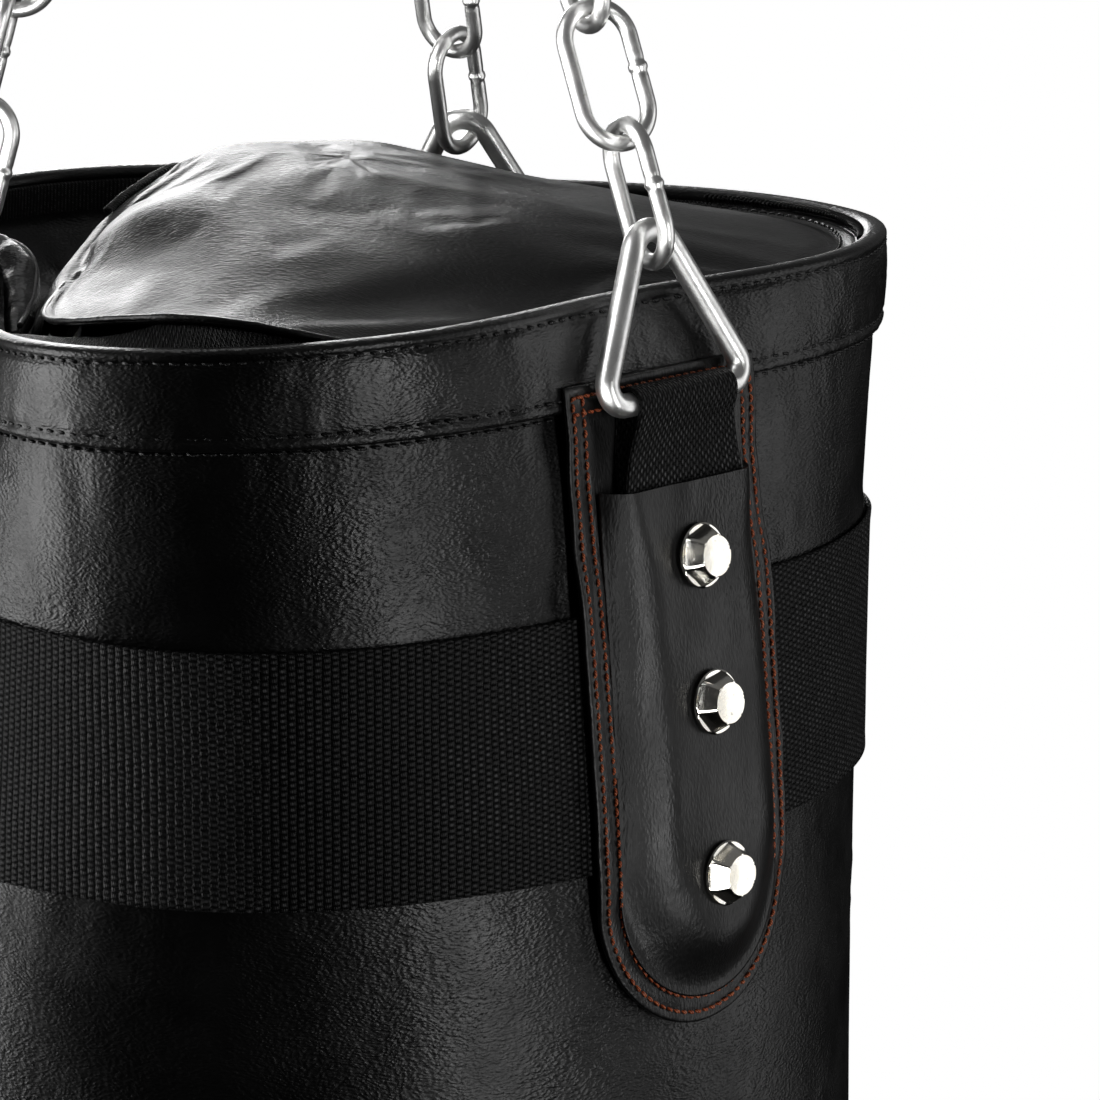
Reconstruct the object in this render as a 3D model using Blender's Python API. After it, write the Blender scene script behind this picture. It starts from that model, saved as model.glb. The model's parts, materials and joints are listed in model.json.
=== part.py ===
"""A hanging punching bag: a sewn leather sleeve with three bolted hangers, three chains and a swivel.

Metres, +Z up. The origin is the centre of the flat bottom. Azimuths are measured from -Y towards +X.
"""

import math

import bmesh
import bpy
from mathutils import Vector

MM = 0.001

# The sleeve. Heights are below the rim, in mm. Near the top the plan is a rounded triangle: it is
# drawn in at the hangers and swells between them.
BAG_HEIGHT = 1000 * MM
BODY_RADIUS = 152 * MM
KEY_DEPTHS = (0, 20, 45, 88, 128, 175, 250, 330)
RADIUS_AT_HANGER = (118, 123, 127.5, 134, 139, 143, 148, 152)
RADIUS_BETWEEN = (161, 159.5, 158.5, 157, 155.5, 154, 152.5, 152)
LEFT_DRAWN_FURTHER = (24, 22, 19, 13, 7, 3, 0, 0)
BACK_FLATTENED = (10, 9, 7, 4, 2, 1, 0, 0)
BACK_AZIMUTH = 224
WALL = 2.2 * MM
GAP = 0.4 * MM
SEGMENTS = 48

COLLAR_DEPTH = 27 * MM
COLLAR_INSIDE_DEPTH = 9 * MM
COLLAR_THICKNESS = 1.5 * MM
COLLAR_GAP = 0.6 * MM
BAND_TOP = 77.5 * MM
BAND_BOTTOM = 144.5 * MM
BAND_THICKNESS = 1.3 * MM
BAND_GAP = 0.6 * MM
BOTTOM_THICKNESS = 3 * MM
BOTTOM_BEVEL = 0.985

# The cover on top of the filling, and the closure tape it presses onto.
LID_THICKNESS = 2 * MM
LID_EDGE_DEPTH = 7 * MM
LID_EDGE_PLAY = 0.8 * MM
LID_CROWN = 33 * MM
LID_RING_SHARES = (1.0, 0.85, 0.6, 0.32, 0.06)
FILLING_SHOULDER_DEPTH = 16 * MM
FILLING_SHOULDER_SHARE = 0.86
TAPE_DEPTH = 10.5 * MM
TAPE_WIDTH = 14 * MM
TAPE_THICKNESS = 1.5 * MM

# The hangers, one at each azimuth.
HANGERS = {"front": 47, "back": 162, "left": -72}
PATCH_TOP = 18 * MM
PATCH_BOTTOM = 191 * MM
PATCH_HALF_WIDTH = 39 * MM
PATCH_FLARE = 3.5 * MM
PATCH_THICKNESS = 1.6 * MM
PAD_TOP = 46 * MM
PAD_BOTTOM = 184 * MM
PAD_HALF_WIDTH = 33 * MM
PAD_THICKNESS = 1.6 * MM
STRAP_HALF_WIDTH = 24.5 * MM
STRAP_HALF_AT_BAR = 18.5 * MM
STRAP_THICKNESS = 1.4 * MM
STRAP_GAP = 1.0 * MM
STRAP_TAPER = 16 * MM
STRAP_BOTTOM = 158 * MM
BOLT_DEPTHS = (67 * MM, 105 * MM, 150 * MM)
BOLT_SHANK_RADIUS = 3 * MM
BOLT_HOLE_RADIUS = 3.4 * MM
BOLT_FLANGE_RADIUS = 8.6 * MM
BOLT_FLANGE_THICKNESS = 1.2 * MM
BOLT_FLANGE_RIM = 0.4 * MM
BOLT_FLANGE_TOP_RADIUS = 7.6 * MM
BOLT_HEX_RADIUS = 7.3 * MM
BOLT_HEX_HEIGHT = 4.6 * MM
BOLT_FACE_RADIUS = 4.8 * MM
BOLT_SEAT_REACH = 12 * MM
NUT_HEX_RADIUS = 6.5 * MM
NUT_HEIGHT = 4 * MM
NUT_GAP = 0.6 * MM
NUT_POCKET_RADIUS = 7.6 * MM

# Offsets from the sleeve's outside, from the patch outwards.
PATCH_INNER = COLLAR_GAP + COLLAR_THICKNESS + GAP
PATCH_OUTER = PATCH_INNER + PATCH_THICKNESS
BACK_STRAP = PATCH_OUTER + STRAP_GAP
FRONT_STRAP = BACK_STRAP + STRAP_THICKNESS + STRAP_GAP
PAD_INNER = FRONT_STRAP + STRAP_THICKNESS + STRAP_GAP
PAD_OUTER = PAD_INNER + PAD_THICKNESS

# The triangular rings and the chains.
RING_WIRE = 3.15 * MM
RING_BAR_DEPTH = 24 * MM
RING_BAR_HALF_LENGTH = 29 * MM
RING_APEX = 51.5 * MM
RING_CORNER_RADII = (5 * MM, 5 * MM, 8 * MM)
RING_LEANS = {"front": math.radians(14), "back": math.radians(14), "left": math.radians(22)}
BAR_STANDOFFS = {"front": 0.0, "back": 0.0, "left": 3 * MM}
RING_PLAY = 1 * MM
LINK_WIRE = 2.25 * MM
LINK_INNER_LENGTH = 32 * MM
LINK_SPACING = 19 * MM
LINKS = 8
CROWN_RADIUS = 34 * MM
CROWN_HEIGHT = BAG_HEIGHT + 249 * MM
FIRST_LINK_TURN = math.radians(-19)
LAST_LINK_TURN = math.radians(540)
SQUARE_LINKS = 2

# The swivel and the snap hook.
PLATE_THICKNESS = 5 * MM
PLATE_WEB = 3.4 * MM
PLATE_BEVEL = 0.8 * MM
CROWN_CLEARANCE = 2.8 * MM
WEB_OUTSIDE_CROWN = 1.8 * MM
PLATE_HOLE_RADIUS = 5.4 * MM
LUG_THICKNESS = 6 * MM
LUG_RADIUS = 7 * MM
LUG_HEIGHT = 14 * MM
PIN_RADIUS = 3 * MM
PIN_HOLE_RADIUS = 3.3 * MM
YOKE_GAP = 10 * MM
YOKE_ARM = 4 * MM
YOKE_WIDTH = 14 * MM
YOKE_RISE = 15 * MM
YOKE_CROWN = 6 * MM
YOKE_FOOT = 6 * MM
YOKE_BEVEL = 2 * MM
STEM_RADIUS = 4 * MM
STEM_PLAY = 0.3 * MM
EYE_RADIUS = 13 * MM
EYE_WIRE = 3.5 * MM
HOOK_WIRE = 4.5 * MM
HOOK_HALF_WIDTH = 19 * MM
HOOK_HEIGHT = 76 * MM
GATE_FOOT = 1.5 * MM
GATE_TONGUE = 1.4 * MM
GATE_BODY = 3.4 * MM
GATE_PIN_RADIUS = 1.2 * MM
GATE_PIN_PLAY = 0.3 * MM
KNUCKLE_SLOT = 1.8 * MM
KNUCKLE_RADIUS = 5 * MM
KNUCKLE_RISE = 4 * MM


def azimuth_direction(azimuth):
    return Vector((math.sin(azimuth), -math.cos(azimuth), 0))


def azimuth_tangent(azimuth):
    return Vector((math.cos(azimuth), math.sin(azimuth), 0))


def between(depths, values, depth):
    """The value at this depth, in straight stretches between the key depths."""
    for i in range(len(depths) - 1):
        if depth <= depths[i + 1]:
            share = (depth - depths[i]) / (depths[i + 1] - depths[i])
            return values[i] + share * (values[i + 1] - values[i])
    return values[-1]


def sleeve_radius(azimuth, height):
    """The sleeve's outside radius: drawn in within 60 degrees of each hanger."""
    depth = max(0.0, (BAG_HEIGHT - height) / MM)
    wide = between(KEY_DEPTHS, RADIUS_BETWEEN, depth) * MM
    narrow = between(KEY_DEPTHS, RADIUS_AT_HANGER, depth) * MM
    drawn_in = 0.0
    for name, degrees in HANGERS.items():
        apart = math.remainder(azimuth - math.radians(degrees), math.tau)
        if abs(apart) < math.pi / 3:
            drawn_in += (wide - narrow) * (1 + math.cos(3 * apart)) / 2
        if name == "left" and abs(apart) < math.pi / 2:
            further = between(KEY_DEPTHS, LEFT_DRAWN_FURTHER, depth) * MM
            drawn_in += further * (1 + math.cos(2 * apart)) / 2
    apart = math.remainder(azimuth - math.radians(BACK_AZIMUTH), math.tau)
    if abs(apart) < math.pi / 3:
        drawn_in += between(KEY_DEPTHS, BACK_FLATTENED, depth) * MM * (1 + math.cos(3 * apart)) / 2
    return wide - drawn_in


def heights_between(low, high):
    """Both heights and every key height between them, lowest first."""
    keys = [BAG_HEIGHT - depth * MM for depth in KEY_DEPTHS]
    return [low] + sorted(key for key in keys if low + MM < key < high - MM) + [high]


def azimuths():
    return [math.tau * i / SEGMENTS for i in range(SEGMENTS)]


# Meshes: every solid is a grid of points, closed round one or both ways.


def add_object(name, rows, faces, material):
    """A closed mesh from rows of points. Its normals are turned outwards."""
    mesh = bpy.data.meshes.new(name)
    mesh.from_pydata([tuple(point) for row in rows for point in row], [], faces)
    build = bmesh.new()
    build.from_mesh(mesh)
    bmesh.ops.recalc_face_normals(build, faces=build.faces)
    build.to_mesh(mesh)
    build.free()
    mesh.shade_smooth()
    mesh.set_sharp_from_angle(angle=math.radians(35))
    mesh.materials.append(material)
    made = bpy.data.objects.new(name, mesh)
    bpy.context.scene.collection.objects.link(made)
    return made


def split_quad(corners, rising):
    """Two triangles. Every wall is split the same way, so that nested walls keep their gap."""
    a, b, c, d = corners
    return [(a, b, c), (a, c, d)] if rising else [(a, b, d), (b, c, d)]


def looped_solid(name, rows, material):
    """A solid whose grid closes both ways, such as a ring or a tube with a wall."""
    count, across = len(rows), len(rows[0])
    faces = []
    for i in range(count):
        for j in range(across):
            a, b = i * across, (i + 1) % count * across
            k = (j + 1) % across
            rising = rows[i][j].z <= rows[i][k].z
            faces += split_quad((a + j, a + k, b + k, b + j), rising)
    return add_object(name, rows, faces, material)


def lofted_solid(name, rows, material):
    """A solid through these closed outlines, with a flat cap at each end."""
    count, across = len(rows), len(rows[0])
    faces = [tuple(range(across)), tuple(range((count - 1) * across, count * across))]
    for i in range(count - 1):
        for j in range(across):
            a, b = i * across, (i + 1) * across
            k = (j + 1) % across
            faces += split_quad((a + j, a + k, b + k, b + j), True)
    return add_object(name, rows, faces, material)


def slab(name, outer, inner, material):
    """A sheet with thickness, between two grids of the same size."""
    rows = [outside + inside[::-1] for outside, inside in zip(outer, inner)]
    half = len(outer[0])
    last = (len(rows) - 1) * 2 * half
    faces = []
    for i in range(len(rows) - 1):
        for j in range(2 * half):
            k = (j + 1) % (2 * half)
            a, b = i * 2 * half, (i + 1) * 2 * half
            faces.append((a + j, a + k, b + k, b + j))
    for start in (0, last):
        for j in range(half - 1):
            faces.append((start + j, start + j + 1, start + 2 * half - 2 - j, start + 2 * half - 1 - j))
    return add_object(name, rows, faces, material)


def rounded_loop(corners, radii, steps):
    """A closed outline through these corners, with each one rounded by an arc."""
    points = []
    for i, corner in enumerate(corners):
        here = Vector(corner)
        to_last = (Vector(corners[i - 1]) - here).normalized()
        to_next = (Vector(corners[(i + 1) % len(corners)]) - here).normalized()
        half_angle = to_last.angle(to_next) / 2
        centre = here + (to_last + to_next).normalized() * (radii[i] / math.sin(half_angle))
        first = here + to_last * (radii[i] / math.tan(half_angle)) - centre
        final = here + to_next * (radii[i] / math.tan(half_angle)) - centre
        for step in range(steps + 1):
            spoke = first.lerp(final, 0.5 - 0.5 * math.cos(math.pi * step / steps))
            point = centre + spoke.normalized() * radii[i]
            if not points or (point - points[-1]).length > 0.1 * MM:
                points.append(point)
    if (points[0] - points[-1]).length < 0.1 * MM:
        points.pop()
    return points


def wire(name, path, normal, radius, sides, material, closed):
    """A round wire along a flat path whose plane has this normal."""
    rows = []
    count = len(path)
    for i, point in enumerate(path):
        after = path[(i + 1) % count] if closed or i < count - 1 else point
        before = path[i - 1] if closed or i > 0 else point
        ahead, behind = (after - point), (point - before)
        if not closed and i in (0, count - 1):
            tangent = (ahead + behind).normalized()
            widen = 1.0
        else:
            tangent = (ahead.normalized() + behind.normalized()).normalized()
            widen = 1 / max(0.7, tangent.dot(ahead.normalized()))
        sideways = normal.cross(tangent).normalized()
        ring = []
        for side in range(sides):
            angle = math.tau * (side + 0.5) / sides
            ring.append(point + radius * (math.cos(angle) * normal + widen * math.sin(angle) * sideways))
        rows.append(ring)
    return (looped_solid if closed else lofted_solid)(name, rows, material)


def in_plane(points, origin, across, up):
    return [origin + point[0] * across + point[1] * up for point in points]


def ngon(count, radius, turn=0.0):
    return [
        (radius * math.cos(math.tau * i / count + turn), radius * math.sin(math.tau * i / count + turn))
        for i in range(count)
    ]


def hexagon(radius):
    """A hexagon given by twelve points, its corners and the middles of its sides."""
    corners = ngon(12, radius)
    middles = ngon(12, radius * math.cos(math.pi / 6))
    return [(middles if i % 2 else corners)[i] for i in range(12)]


def turned(name, profile, origin, axis, material):
    """A solid along an axis, through outlines given as (distance along the axis, outline)."""
    side = axis.orthogonal().normalized()
    other = axis.cross(side)
    rows = [in_plane(outline, origin + axis * along, side, other) for along, outline in profile]
    return lofted_solid(name, rows, material)


def make_cutter(name, pieces):
    """One hidden helper from (origin, axis, low, high, radius) cylinders."""
    build = bmesh.new()
    for origin, axis, low, high, radius in pieces:
        side = axis.orthogonal().normalized()
        other = axis.cross(side)
        ends = []
        for along in (low, high):
            circle = in_plane(ngon(12, radius), origin + axis * along, side, other)
            ends.append([build.verts.new(point) for point in circle])
        build.faces.new(ends[0][::-1])
        build.faces.new(ends[1])
        for j in range(12):
            k = (j + 1) % 12
            build.faces.new((ends[0][j], ends[0][k], ends[1][k], ends[1][j]))
    bmesh.ops.recalc_face_normals(build, faces=build.faces)
    mesh = bpy.data.meshes.new(name)
    build.to_mesh(mesh)
    build.free()
    cutter = bpy.data.objects.new(name, mesh)
    cutter.hide_render = True
    cutter.display_type = "WIRE"
    bpy.context.scene.collection.objects.link(cutter)
    return cutter


def cut(target, cutter):
    modifier = target.modifiers.new(cutter.name, "BOOLEAN")
    modifier.operation = "DIFFERENCE"
    modifier.solver = "EXACT"
    modifier.object = cutter


def join(target, helper):
    helper.hide_render = True
    helper.display_type = "WIRE"
    modifier = target.modifiers.new(helper.name, "BOOLEAN")
    modifier.operation = "UNION"
    modifier.solver = "EXACT"
    modifier.object = helper


def rectangle(half_across, half_up):
    right = [(half_across, -half_up), (half_across, half_up)]
    return [(-half_across, -half_up), *right, (-half_across, half_up)]


def make_material(name, colour, roughness, metallic=0.0):
    material = bpy.data.materials.new(name)
    material.use_nodes = True
    shader = material.node_tree.nodes["Principled BSDF"]
    shader.inputs["Base Color"].default_value = (*colour, 1)
    shader.inputs["Roughness"].default_value = roughness
    shader.inputs["Metallic"].default_value = metallic
    material.diffuse_color = (*colour, 1)
    return material


# The sewn body.


def wall_solid(name, section, material):
    """A band round the bag. section(azimuth) gives its (radius, height) points in order."""
    rows = []
    for azimuth in azimuths():
        out = azimuth_direction(azimuth)
        rows.append([out * radius + Vector((0, 0, height)) for radius, height in section(azimuth)])
    return looped_solid(name, rows, material)


def make_sleeve(material):
    heights = heights_between(BOTTOM_THICKNESS + GAP, BAG_HEIGHT)

    def section(azimuth):
        outside = [(sleeve_radius(azimuth, height), height) for height in heights]
        return outside + [(radius - WALL, height) for radius, height in reversed(outside)]

    return wall_solid("sleeve", section, material)


def make_collar(material):
    """The hem folded over the sleeve's top edge."""
    top = BAG_HEIGHT + GAP
    outside = heights_between(BAG_HEIGHT - COLLAR_DEPTH, BAG_HEIGHT)
    foot = BAG_HEIGHT - COLLAR_INSIDE_DEPTH
    step = COLLAR_GAP + COLLAR_THICKNESS
    shoulder = step * 0.4

    def section(azimuth):
        rim = sleeve_radius(azimuth, top)
        inner_foot = sleeve_radius(azimuth, foot) - WALL
        outer_side = [(sleeve_radius(azimuth, height) + step, height) for height in outside]
        inner_side = [(sleeve_radius(azimuth, height) + COLLAR_GAP, height) for height in outside[:-1]]
        return [
            *outer_side,
            (rim + shoulder, top + COLLAR_THICKNESS),
            (rim - WALL - shoulder, top + COLLAR_THICKNESS),
            (rim - WALL - step, BAG_HEIGHT),
            (inner_foot - step, foot),
            (inner_foot - COLLAR_GAP, foot),
            (rim - WALL - COLLAR_GAP, top),
            (rim + COLLAR_GAP, top),
            *reversed(inner_side),
        ]

    return wall_solid("collar", section, material)


def make_band(material):
    heights = heights_between(BAG_HEIGHT - BAND_BOTTOM, BAG_HEIGHT - BAND_TOP)

    def section(azimuth):
        inside = [(sleeve_radius(azimuth, height) + BAND_GAP, height) for height in heights]
        return [(radius + BAND_THICKNESS, height) for radius, height in inside] + inside[::-1]

    return wall_solid("webbing_band", section, material)


def make_closure_tape(material):
    """The hook-and-loop ledge inside the rim, which the lid's edge presses onto."""
    top = BAG_HEIGHT - TAPE_DEPTH
    low = top - TAPE_THICKNESS

    def section(azimuth):
        outer = min(sleeve_radius(azimuth, low), sleeve_radius(azimuth, top)) - WALL - 2 * GAP
        return [(outer, low), (outer, top), (outer - TAPE_WIDTH, top), (outer - TAPE_WIDTH, low)]

    return wall_solid("closure_tape", section, material)


def make_bottom(material):
    rows = []
    for share, height in ((BOTTOM_BEVEL, 0.0), (1.0, BOTTOM_THICKNESS / 2), (1.0, BOTTOM_THICKNESS)):
        level = Vector((0, 0, height))
        rows.append([azimuth_direction(a) * BODY_RADIUS * share + level for a in azimuths()])
    return lofted_solid("bottom_panel", rows, material)


def lid_rows(lift):
    """Outlines of the domed cover from its edge to near its middle, moved up by lift."""
    rows = []
    edge_height = BAG_HEIGHT - LID_EDGE_DEPTH
    inset = WALL + 2 * GAP + COLLAR_THICKNESS + LID_EDGE_PLAY
    for share in LID_RING_SHARES:
        rise = LID_CROWN * (1 - share**2) ** 1.5
        row = []
        for azimuth in azimuths():
            edge = sleeve_radius(azimuth, edge_height) - inset
            level = Vector((0, 0, edge_height + rise + lift))
            row.append(azimuth_direction(azimuth) * edge * share + level)
        rows.append(row)
    return rows


def make_lid(material):
    return lofted_solid("lid", lid_rows(0.0)[::-1] + lid_rows(-LID_THICKNESS), material)


def make_filling(material):
    """The packed textile filling, which ends in a dome under the lid."""
    shoulder = BAG_HEIGHT - FILLING_SHOULDER_DEPTH
    levels = [(height, 1.0) for height in heights_between(BOTTOM_THICKNESS + GAP, shoulder)]
    levels.append((shoulder + MM, FILLING_SHOULDER_SHARE))
    rows = []
    for height, share in levels:
        row = []
        for azimuth in azimuths():
            radius = sleeve_radius(azimuth, height) - WALL - 2 * GAP
            row.append(azimuth_direction(azimuth) * radius * share + Vector((0, 0, height)))
        rows.append(row)
    rows += lid_rows(-LID_THICKNESS - GAP)[2:]
    return lofted_solid("filling", rows, material)


# The hangers.


def on_patch(azimuth, sideways, height, offset):
    """A point this far off the sleeve's outside, sideways along it from the hanger's middle."""
    turned_by = azimuth + sideways / BODY_RADIUS
    return azimuth_direction(turned_by) * (sleeve_radius(turned_by, height) + offset) + Vector((0, 0, height))


def off_flat(azimuth, sideways, height, offset):
    """The same, on the flat plane that touches the sleeve at the hanger's middle."""
    out = sleeve_radius(azimuth, height) + offset
    return azimuth_direction(azimuth) * out + azimuth_tangent(azimuth) * sideways + Vector((0, 0, height))


def tongue_rows(top, bottom, half_width, flare):
    """(height, half width) up a tongue with a round lower end, which widens by flare to its top."""
    centre = BAG_HEIGHT - bottom + half_width
    rows = []
    for degrees in (80, 66, 48, 25):
        angle = math.radians(degrees)
        rows.append((centre - half_width * math.sin(angle), half_width * math.cos(angle)))
    high = BAG_HEIGHT - top
    for height in heights_between(centre, high):
        rows.append((height, half_width + flare * (height - centre) / (high - centre)))
    return rows


def make_patch(name, azimuth, material):
    shares = [-1 + i / 4 for i in range(9)]
    outer, inner = [], []
    for height, half in tongue_rows(PATCH_TOP, PATCH_BOTTOM, PATCH_HALF_WIDTH, PATCH_FLARE):
        outer.append([on_patch(azimuth, half * s, height, PATCH_OUTER) for s in shares])
        inner.append([on_patch(azimuth, half * s, height, PATCH_INNER) for s in shares])
    return slab(f"patch_{name}", outer, inner, material)


def make_pad(name, azimuth, material):
    """The raised leather facing over the strap, stitched down round its edge."""
    shares = (-1.0, -0.87, -0.8, -0.4, 0.0, 0.4, 0.8, 0.87, 1.0)
    low_inner = PATCH_OUTER + GAP
    outer, inner = [], []
    for height, half in tongue_rows(PAD_TOP, PAD_BOTTOM, PAD_HALF_WIDTH, 0.0):
        over_strap = half > PAD_HALF_WIDTH * 0.88
        raised = PAD_INNER if over_strap else low_inner
        row_out, row_in = [], []
        for share in shares:
            inside = raised if abs(share) < 0.84 else low_inner
            row_in.append(on_patch(azimuth, half * share, height, inside))
            row_out.append(on_patch(azimuth, half * share, height, inside + PAD_THICKNESS))
        outer.append(row_out)
        inner.append(row_in)
    return slab(f"pad_{name}", outer, inner, material)


def bar_offset():
    return BACK_STRAP + STRAP_THICKNESS + GAP + RING_WIRE


def make_strap(name, azimuth, material):
    """The webbing loop: up in front, over the ring's bar and down behind, with both ends bolted."""
    bar_height = BAG_HEIGHT - RING_BAR_DEPTH
    pad_top = BAG_HEIGHT - PAD_TOP
    low = BAG_HEIGHT - STRAP_BOTTOM
    tight, loose = RING_WIRE + GAP, RING_WIRE + GAP + STRAP_THICKNESS
    bar, out = ring_frame(name)[0], azimuth_direction(azimuth)
    path = []
    for height in heights_between(low, pad_top):
        path.append(((FRONT_STRAP + STRAP_THICKNESS, height), (FRONT_STRAP, height)))
    for degrees in (-20, 20, 60, 90, 120, 160, 180):
        angle = math.radians(degrees)
        path.append(
            tuple(
                (bar_offset() + radius * math.cos(angle), bar_height + radius * math.sin(angle))
                for radius in (loose, tight)
            )
        )
    for height in reversed(heights_between(low, pad_top)):
        path.append(((BACK_STRAP, height), (BACK_STRAP + STRAP_THICKNESS, height)))
    shares = (-1.0, -0.5, 0.0, 0.5, 1.0)
    outer, inner = [], []
    for pair in path:
        for grid, (offset, height) in zip((outer, inner), pair):
            flat = min(1.0, max(0.0, (height - pad_top) / STRAP_TAPER))
            row = []
            for share in shares:
                sideways = share * (STRAP_HALF_WIDTH + flat * (STRAP_HALF_AT_BAR - STRAP_HALF_WIDTH))
                level = out * (offset - bar_offset()) + Vector((0, 0, height - bar_height))
                round_bar = bar + azimuth_tangent(azimuth) * sideways + level
                row.append(on_patch(azimuth, sideways, height, offset).lerp(round_bar, flat))
            grid.append(row)
    return slab(f"strap_{name}", outer, inner, material)


def bolt_frame(azimuth, depth):
    """The point on the sleeve's outside and the outward direction of a bolt."""
    reach = BOLT_SEAT_REACH
    height = BAG_HEIGHT - depth
    above = off_flat(azimuth, 0, height + reach, 0)
    below = off_flat(azimuth, 0, height - reach, 0)
    return off_flat(azimuth, 0, height, 0), azimuth_tangent(azimuth).cross(above - below).normalized()


def make_bolt(name, azimuth, depth, material):
    """A flanged hexagon bolt, with its nut inside the sleeve."""
    origin, axis = bolt_frame(azimuth, depth)
    nut_face = -WALL - NUT_GAP
    flange = PAD_OUTER + GAP
    head = flange + BOLT_FLANGE_THICKNESS
    shank = ngon(12, BOLT_SHANK_RADIUS)
    profile = [
        (nut_face - NUT_HEIGHT, hexagon(NUT_HEX_RADIUS)),
        (nut_face, hexagon(NUT_HEX_RADIUS)),
        (nut_face, shank),
        (flange, shank),
        (flange, ngon(12, BOLT_FLANGE_RADIUS)),
        (flange + BOLT_FLANGE_RIM, ngon(12, BOLT_FLANGE_RADIUS)),
        (head, ngon(12, BOLT_FLANGE_TOP_RADIUS)),
        (head, hexagon(BOLT_HEX_RADIUS)),
        (head + BOLT_HEX_HEIGHT * 0.7, hexagon(BOLT_HEX_RADIUS)),
        (head + BOLT_HEX_HEIGHT, ngon(12, BOLT_FACE_RADIUS)),
    ]
    return turned(name, profile, origin, axis, material)


def ring_frame(name):
    """The middle of a ring's bar, and the direction up to its top."""
    azimuth, lean = math.radians(HANGERS[name]), RING_LEANS[name]
    bar = off_flat(azimuth, 0, BAG_HEIGHT - RING_BAR_DEPTH, bar_offset() + BAR_STANDOFFS[name])
    up = Vector((0, 0, 1)) * math.cos(lean) - azimuth_direction(azimuth) * math.sin(lean)
    return bar, up


def make_ring(name, azimuth, material):
    """The triangular ring, and the middle of the wire at its top."""
    bar, up = ring_frame(name)
    side = azimuth_tangent(azimuth)
    corners = [(-RING_BAR_HALF_LENGTH, 0), (RING_BAR_HALF_LENGTH, 0), (0, RING_APEX)]
    outline = rounded_loop(corners, RING_CORNER_RADII, 3)
    outline = [Vector((p[0], p[1])) for p in outline]
    path = in_plane(outline, bar, side, up)
    ring = wire(f"ring_{name}", path, side.cross(up), RING_WIRE, 8, material, closed=True)
    top = max(point[1] for point in outline)
    return ring, bar + up * top


def crown_point(azimuth):
    """Where a chain's last link bends over the spreader plate's edge, on the link's inside."""
    return azimuth_direction(azimuth) * CROWN_RADIUS + Vector((0, 0, CROWN_HEIGHT))


def make_chain(name, azimuth, start, material):
    """Links from the ring's top to the spreader plate, each a quarter turn on from the last.

    The upper links turn a little less, so that the last one stands square to the plate's edge.
    """
    out = azimuth_direction(azimuth)
    reach = crown_point(azimuth) - start
    along = reach.normalized()
    flat_width = (out - along * out.dot(along)).normalized()
    flat_normal = along.cross(flat_width)
    half_length = LINK_INNER_LENGTH / 2 + LINK_WIRE
    half_width = LINK_SPACING / 2
    corners = rectangle(half_width, half_length)
    outline = rounded_loop(corners, [half_width - 0.01 * MM] * 4, 3)
    first = LINK_INNER_LENGTH / 2 - RING_WIRE - RING_PLAY
    step = (reach.length - first - LINK_INNER_LENGTH / 2) / (LINKS - 1)
    missing = FIRST_LINK_TURN + (LINKS - 1) * math.pi / 2 - LAST_LINK_TURN
    for number in range(LINKS):
        share = max(0, number - SQUARE_LINKS) / (LINKS - 1 - SQUARE_LINKS)
        turn = FIRST_LINK_TURN + number * math.pi / 2 - share * missing
        across = flat_width * math.cos(turn) + flat_normal * math.sin(turn)
        path = in_plane(outline, start + along * (first + number * step), across, along)
        normal = across.cross(along)
        wire(f"link_{name}_{number + 1}", path, normal, LINK_WIRE, 5, material, closed=True)


# The swivel and the snap hook.


def make_plate(material):
    """The round spreader plate: each chain's last link passes through one of its holes."""
    top = CROWN_HEIGHT - CROWN_CLEARANCE
    web_radius = CROWN_RADIUS + WEB_OUTSIDE_CROWN
    radius = web_radius + PLATE_WEB
    up = Vector((0, 0, 1))
    profile = [
        (top - PLATE_THICKNESS, ngon(36, radius - PLATE_BEVEL)),
        (top - PLATE_THICKNESS + PLATE_BEVEL, ngon(36, radius)),
        (top - PLATE_BEVEL, ngon(36, radius)),
        (top, ngon(36, radius - PLATE_BEVEL)),
    ]
    plate = turned("spreader_plate", profile, Vector(), up, material)
    holes = []
    hole_circle = web_radius - PLATE_WEB - PLATE_HOLE_RADIUS + 0.1 * MM
    for degrees in HANGERS.values():
        middle = azimuth_direction(math.radians(degrees)) * hole_circle
        holes.append((middle, up, top - 10 * MM, top + 10 * MM, PLATE_HOLE_RADIUS))
    pin_height = top + LUG_HEIGHT
    outline = [(-LUG_RADIUS, top - PLATE_THICKNESS / 2), (LUG_RADIUS, top - PLATE_THICKNESS / 2)]
    for step in range(9):
        angle = math.pi * step / 8
        outline.append((LUG_RADIUS * math.cos(angle), pin_height + LUG_RADIUS * math.sin(angle)))
    side, ahead = Vector((1, 0, 0)), Vector((0, 1, 0))
    half = ahead * LUG_THICKNESS / 2
    rows = [in_plane(outline, -half, side, up), in_plane(outline, half, side, up)]
    lug = lofted_solid("lug_helper", rows, material)
    join(plate, lug)
    cut(plate, make_cutter("cut_link_holes", holes))
    pin_hole = (Vector((0, 0, pin_height)), ahead, -10 * MM, 10 * MM, PIN_HOLE_RADIUS)
    cut(plate, make_cutter("cut_lug_hole", [pin_hole]))
    return pin_height


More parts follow.
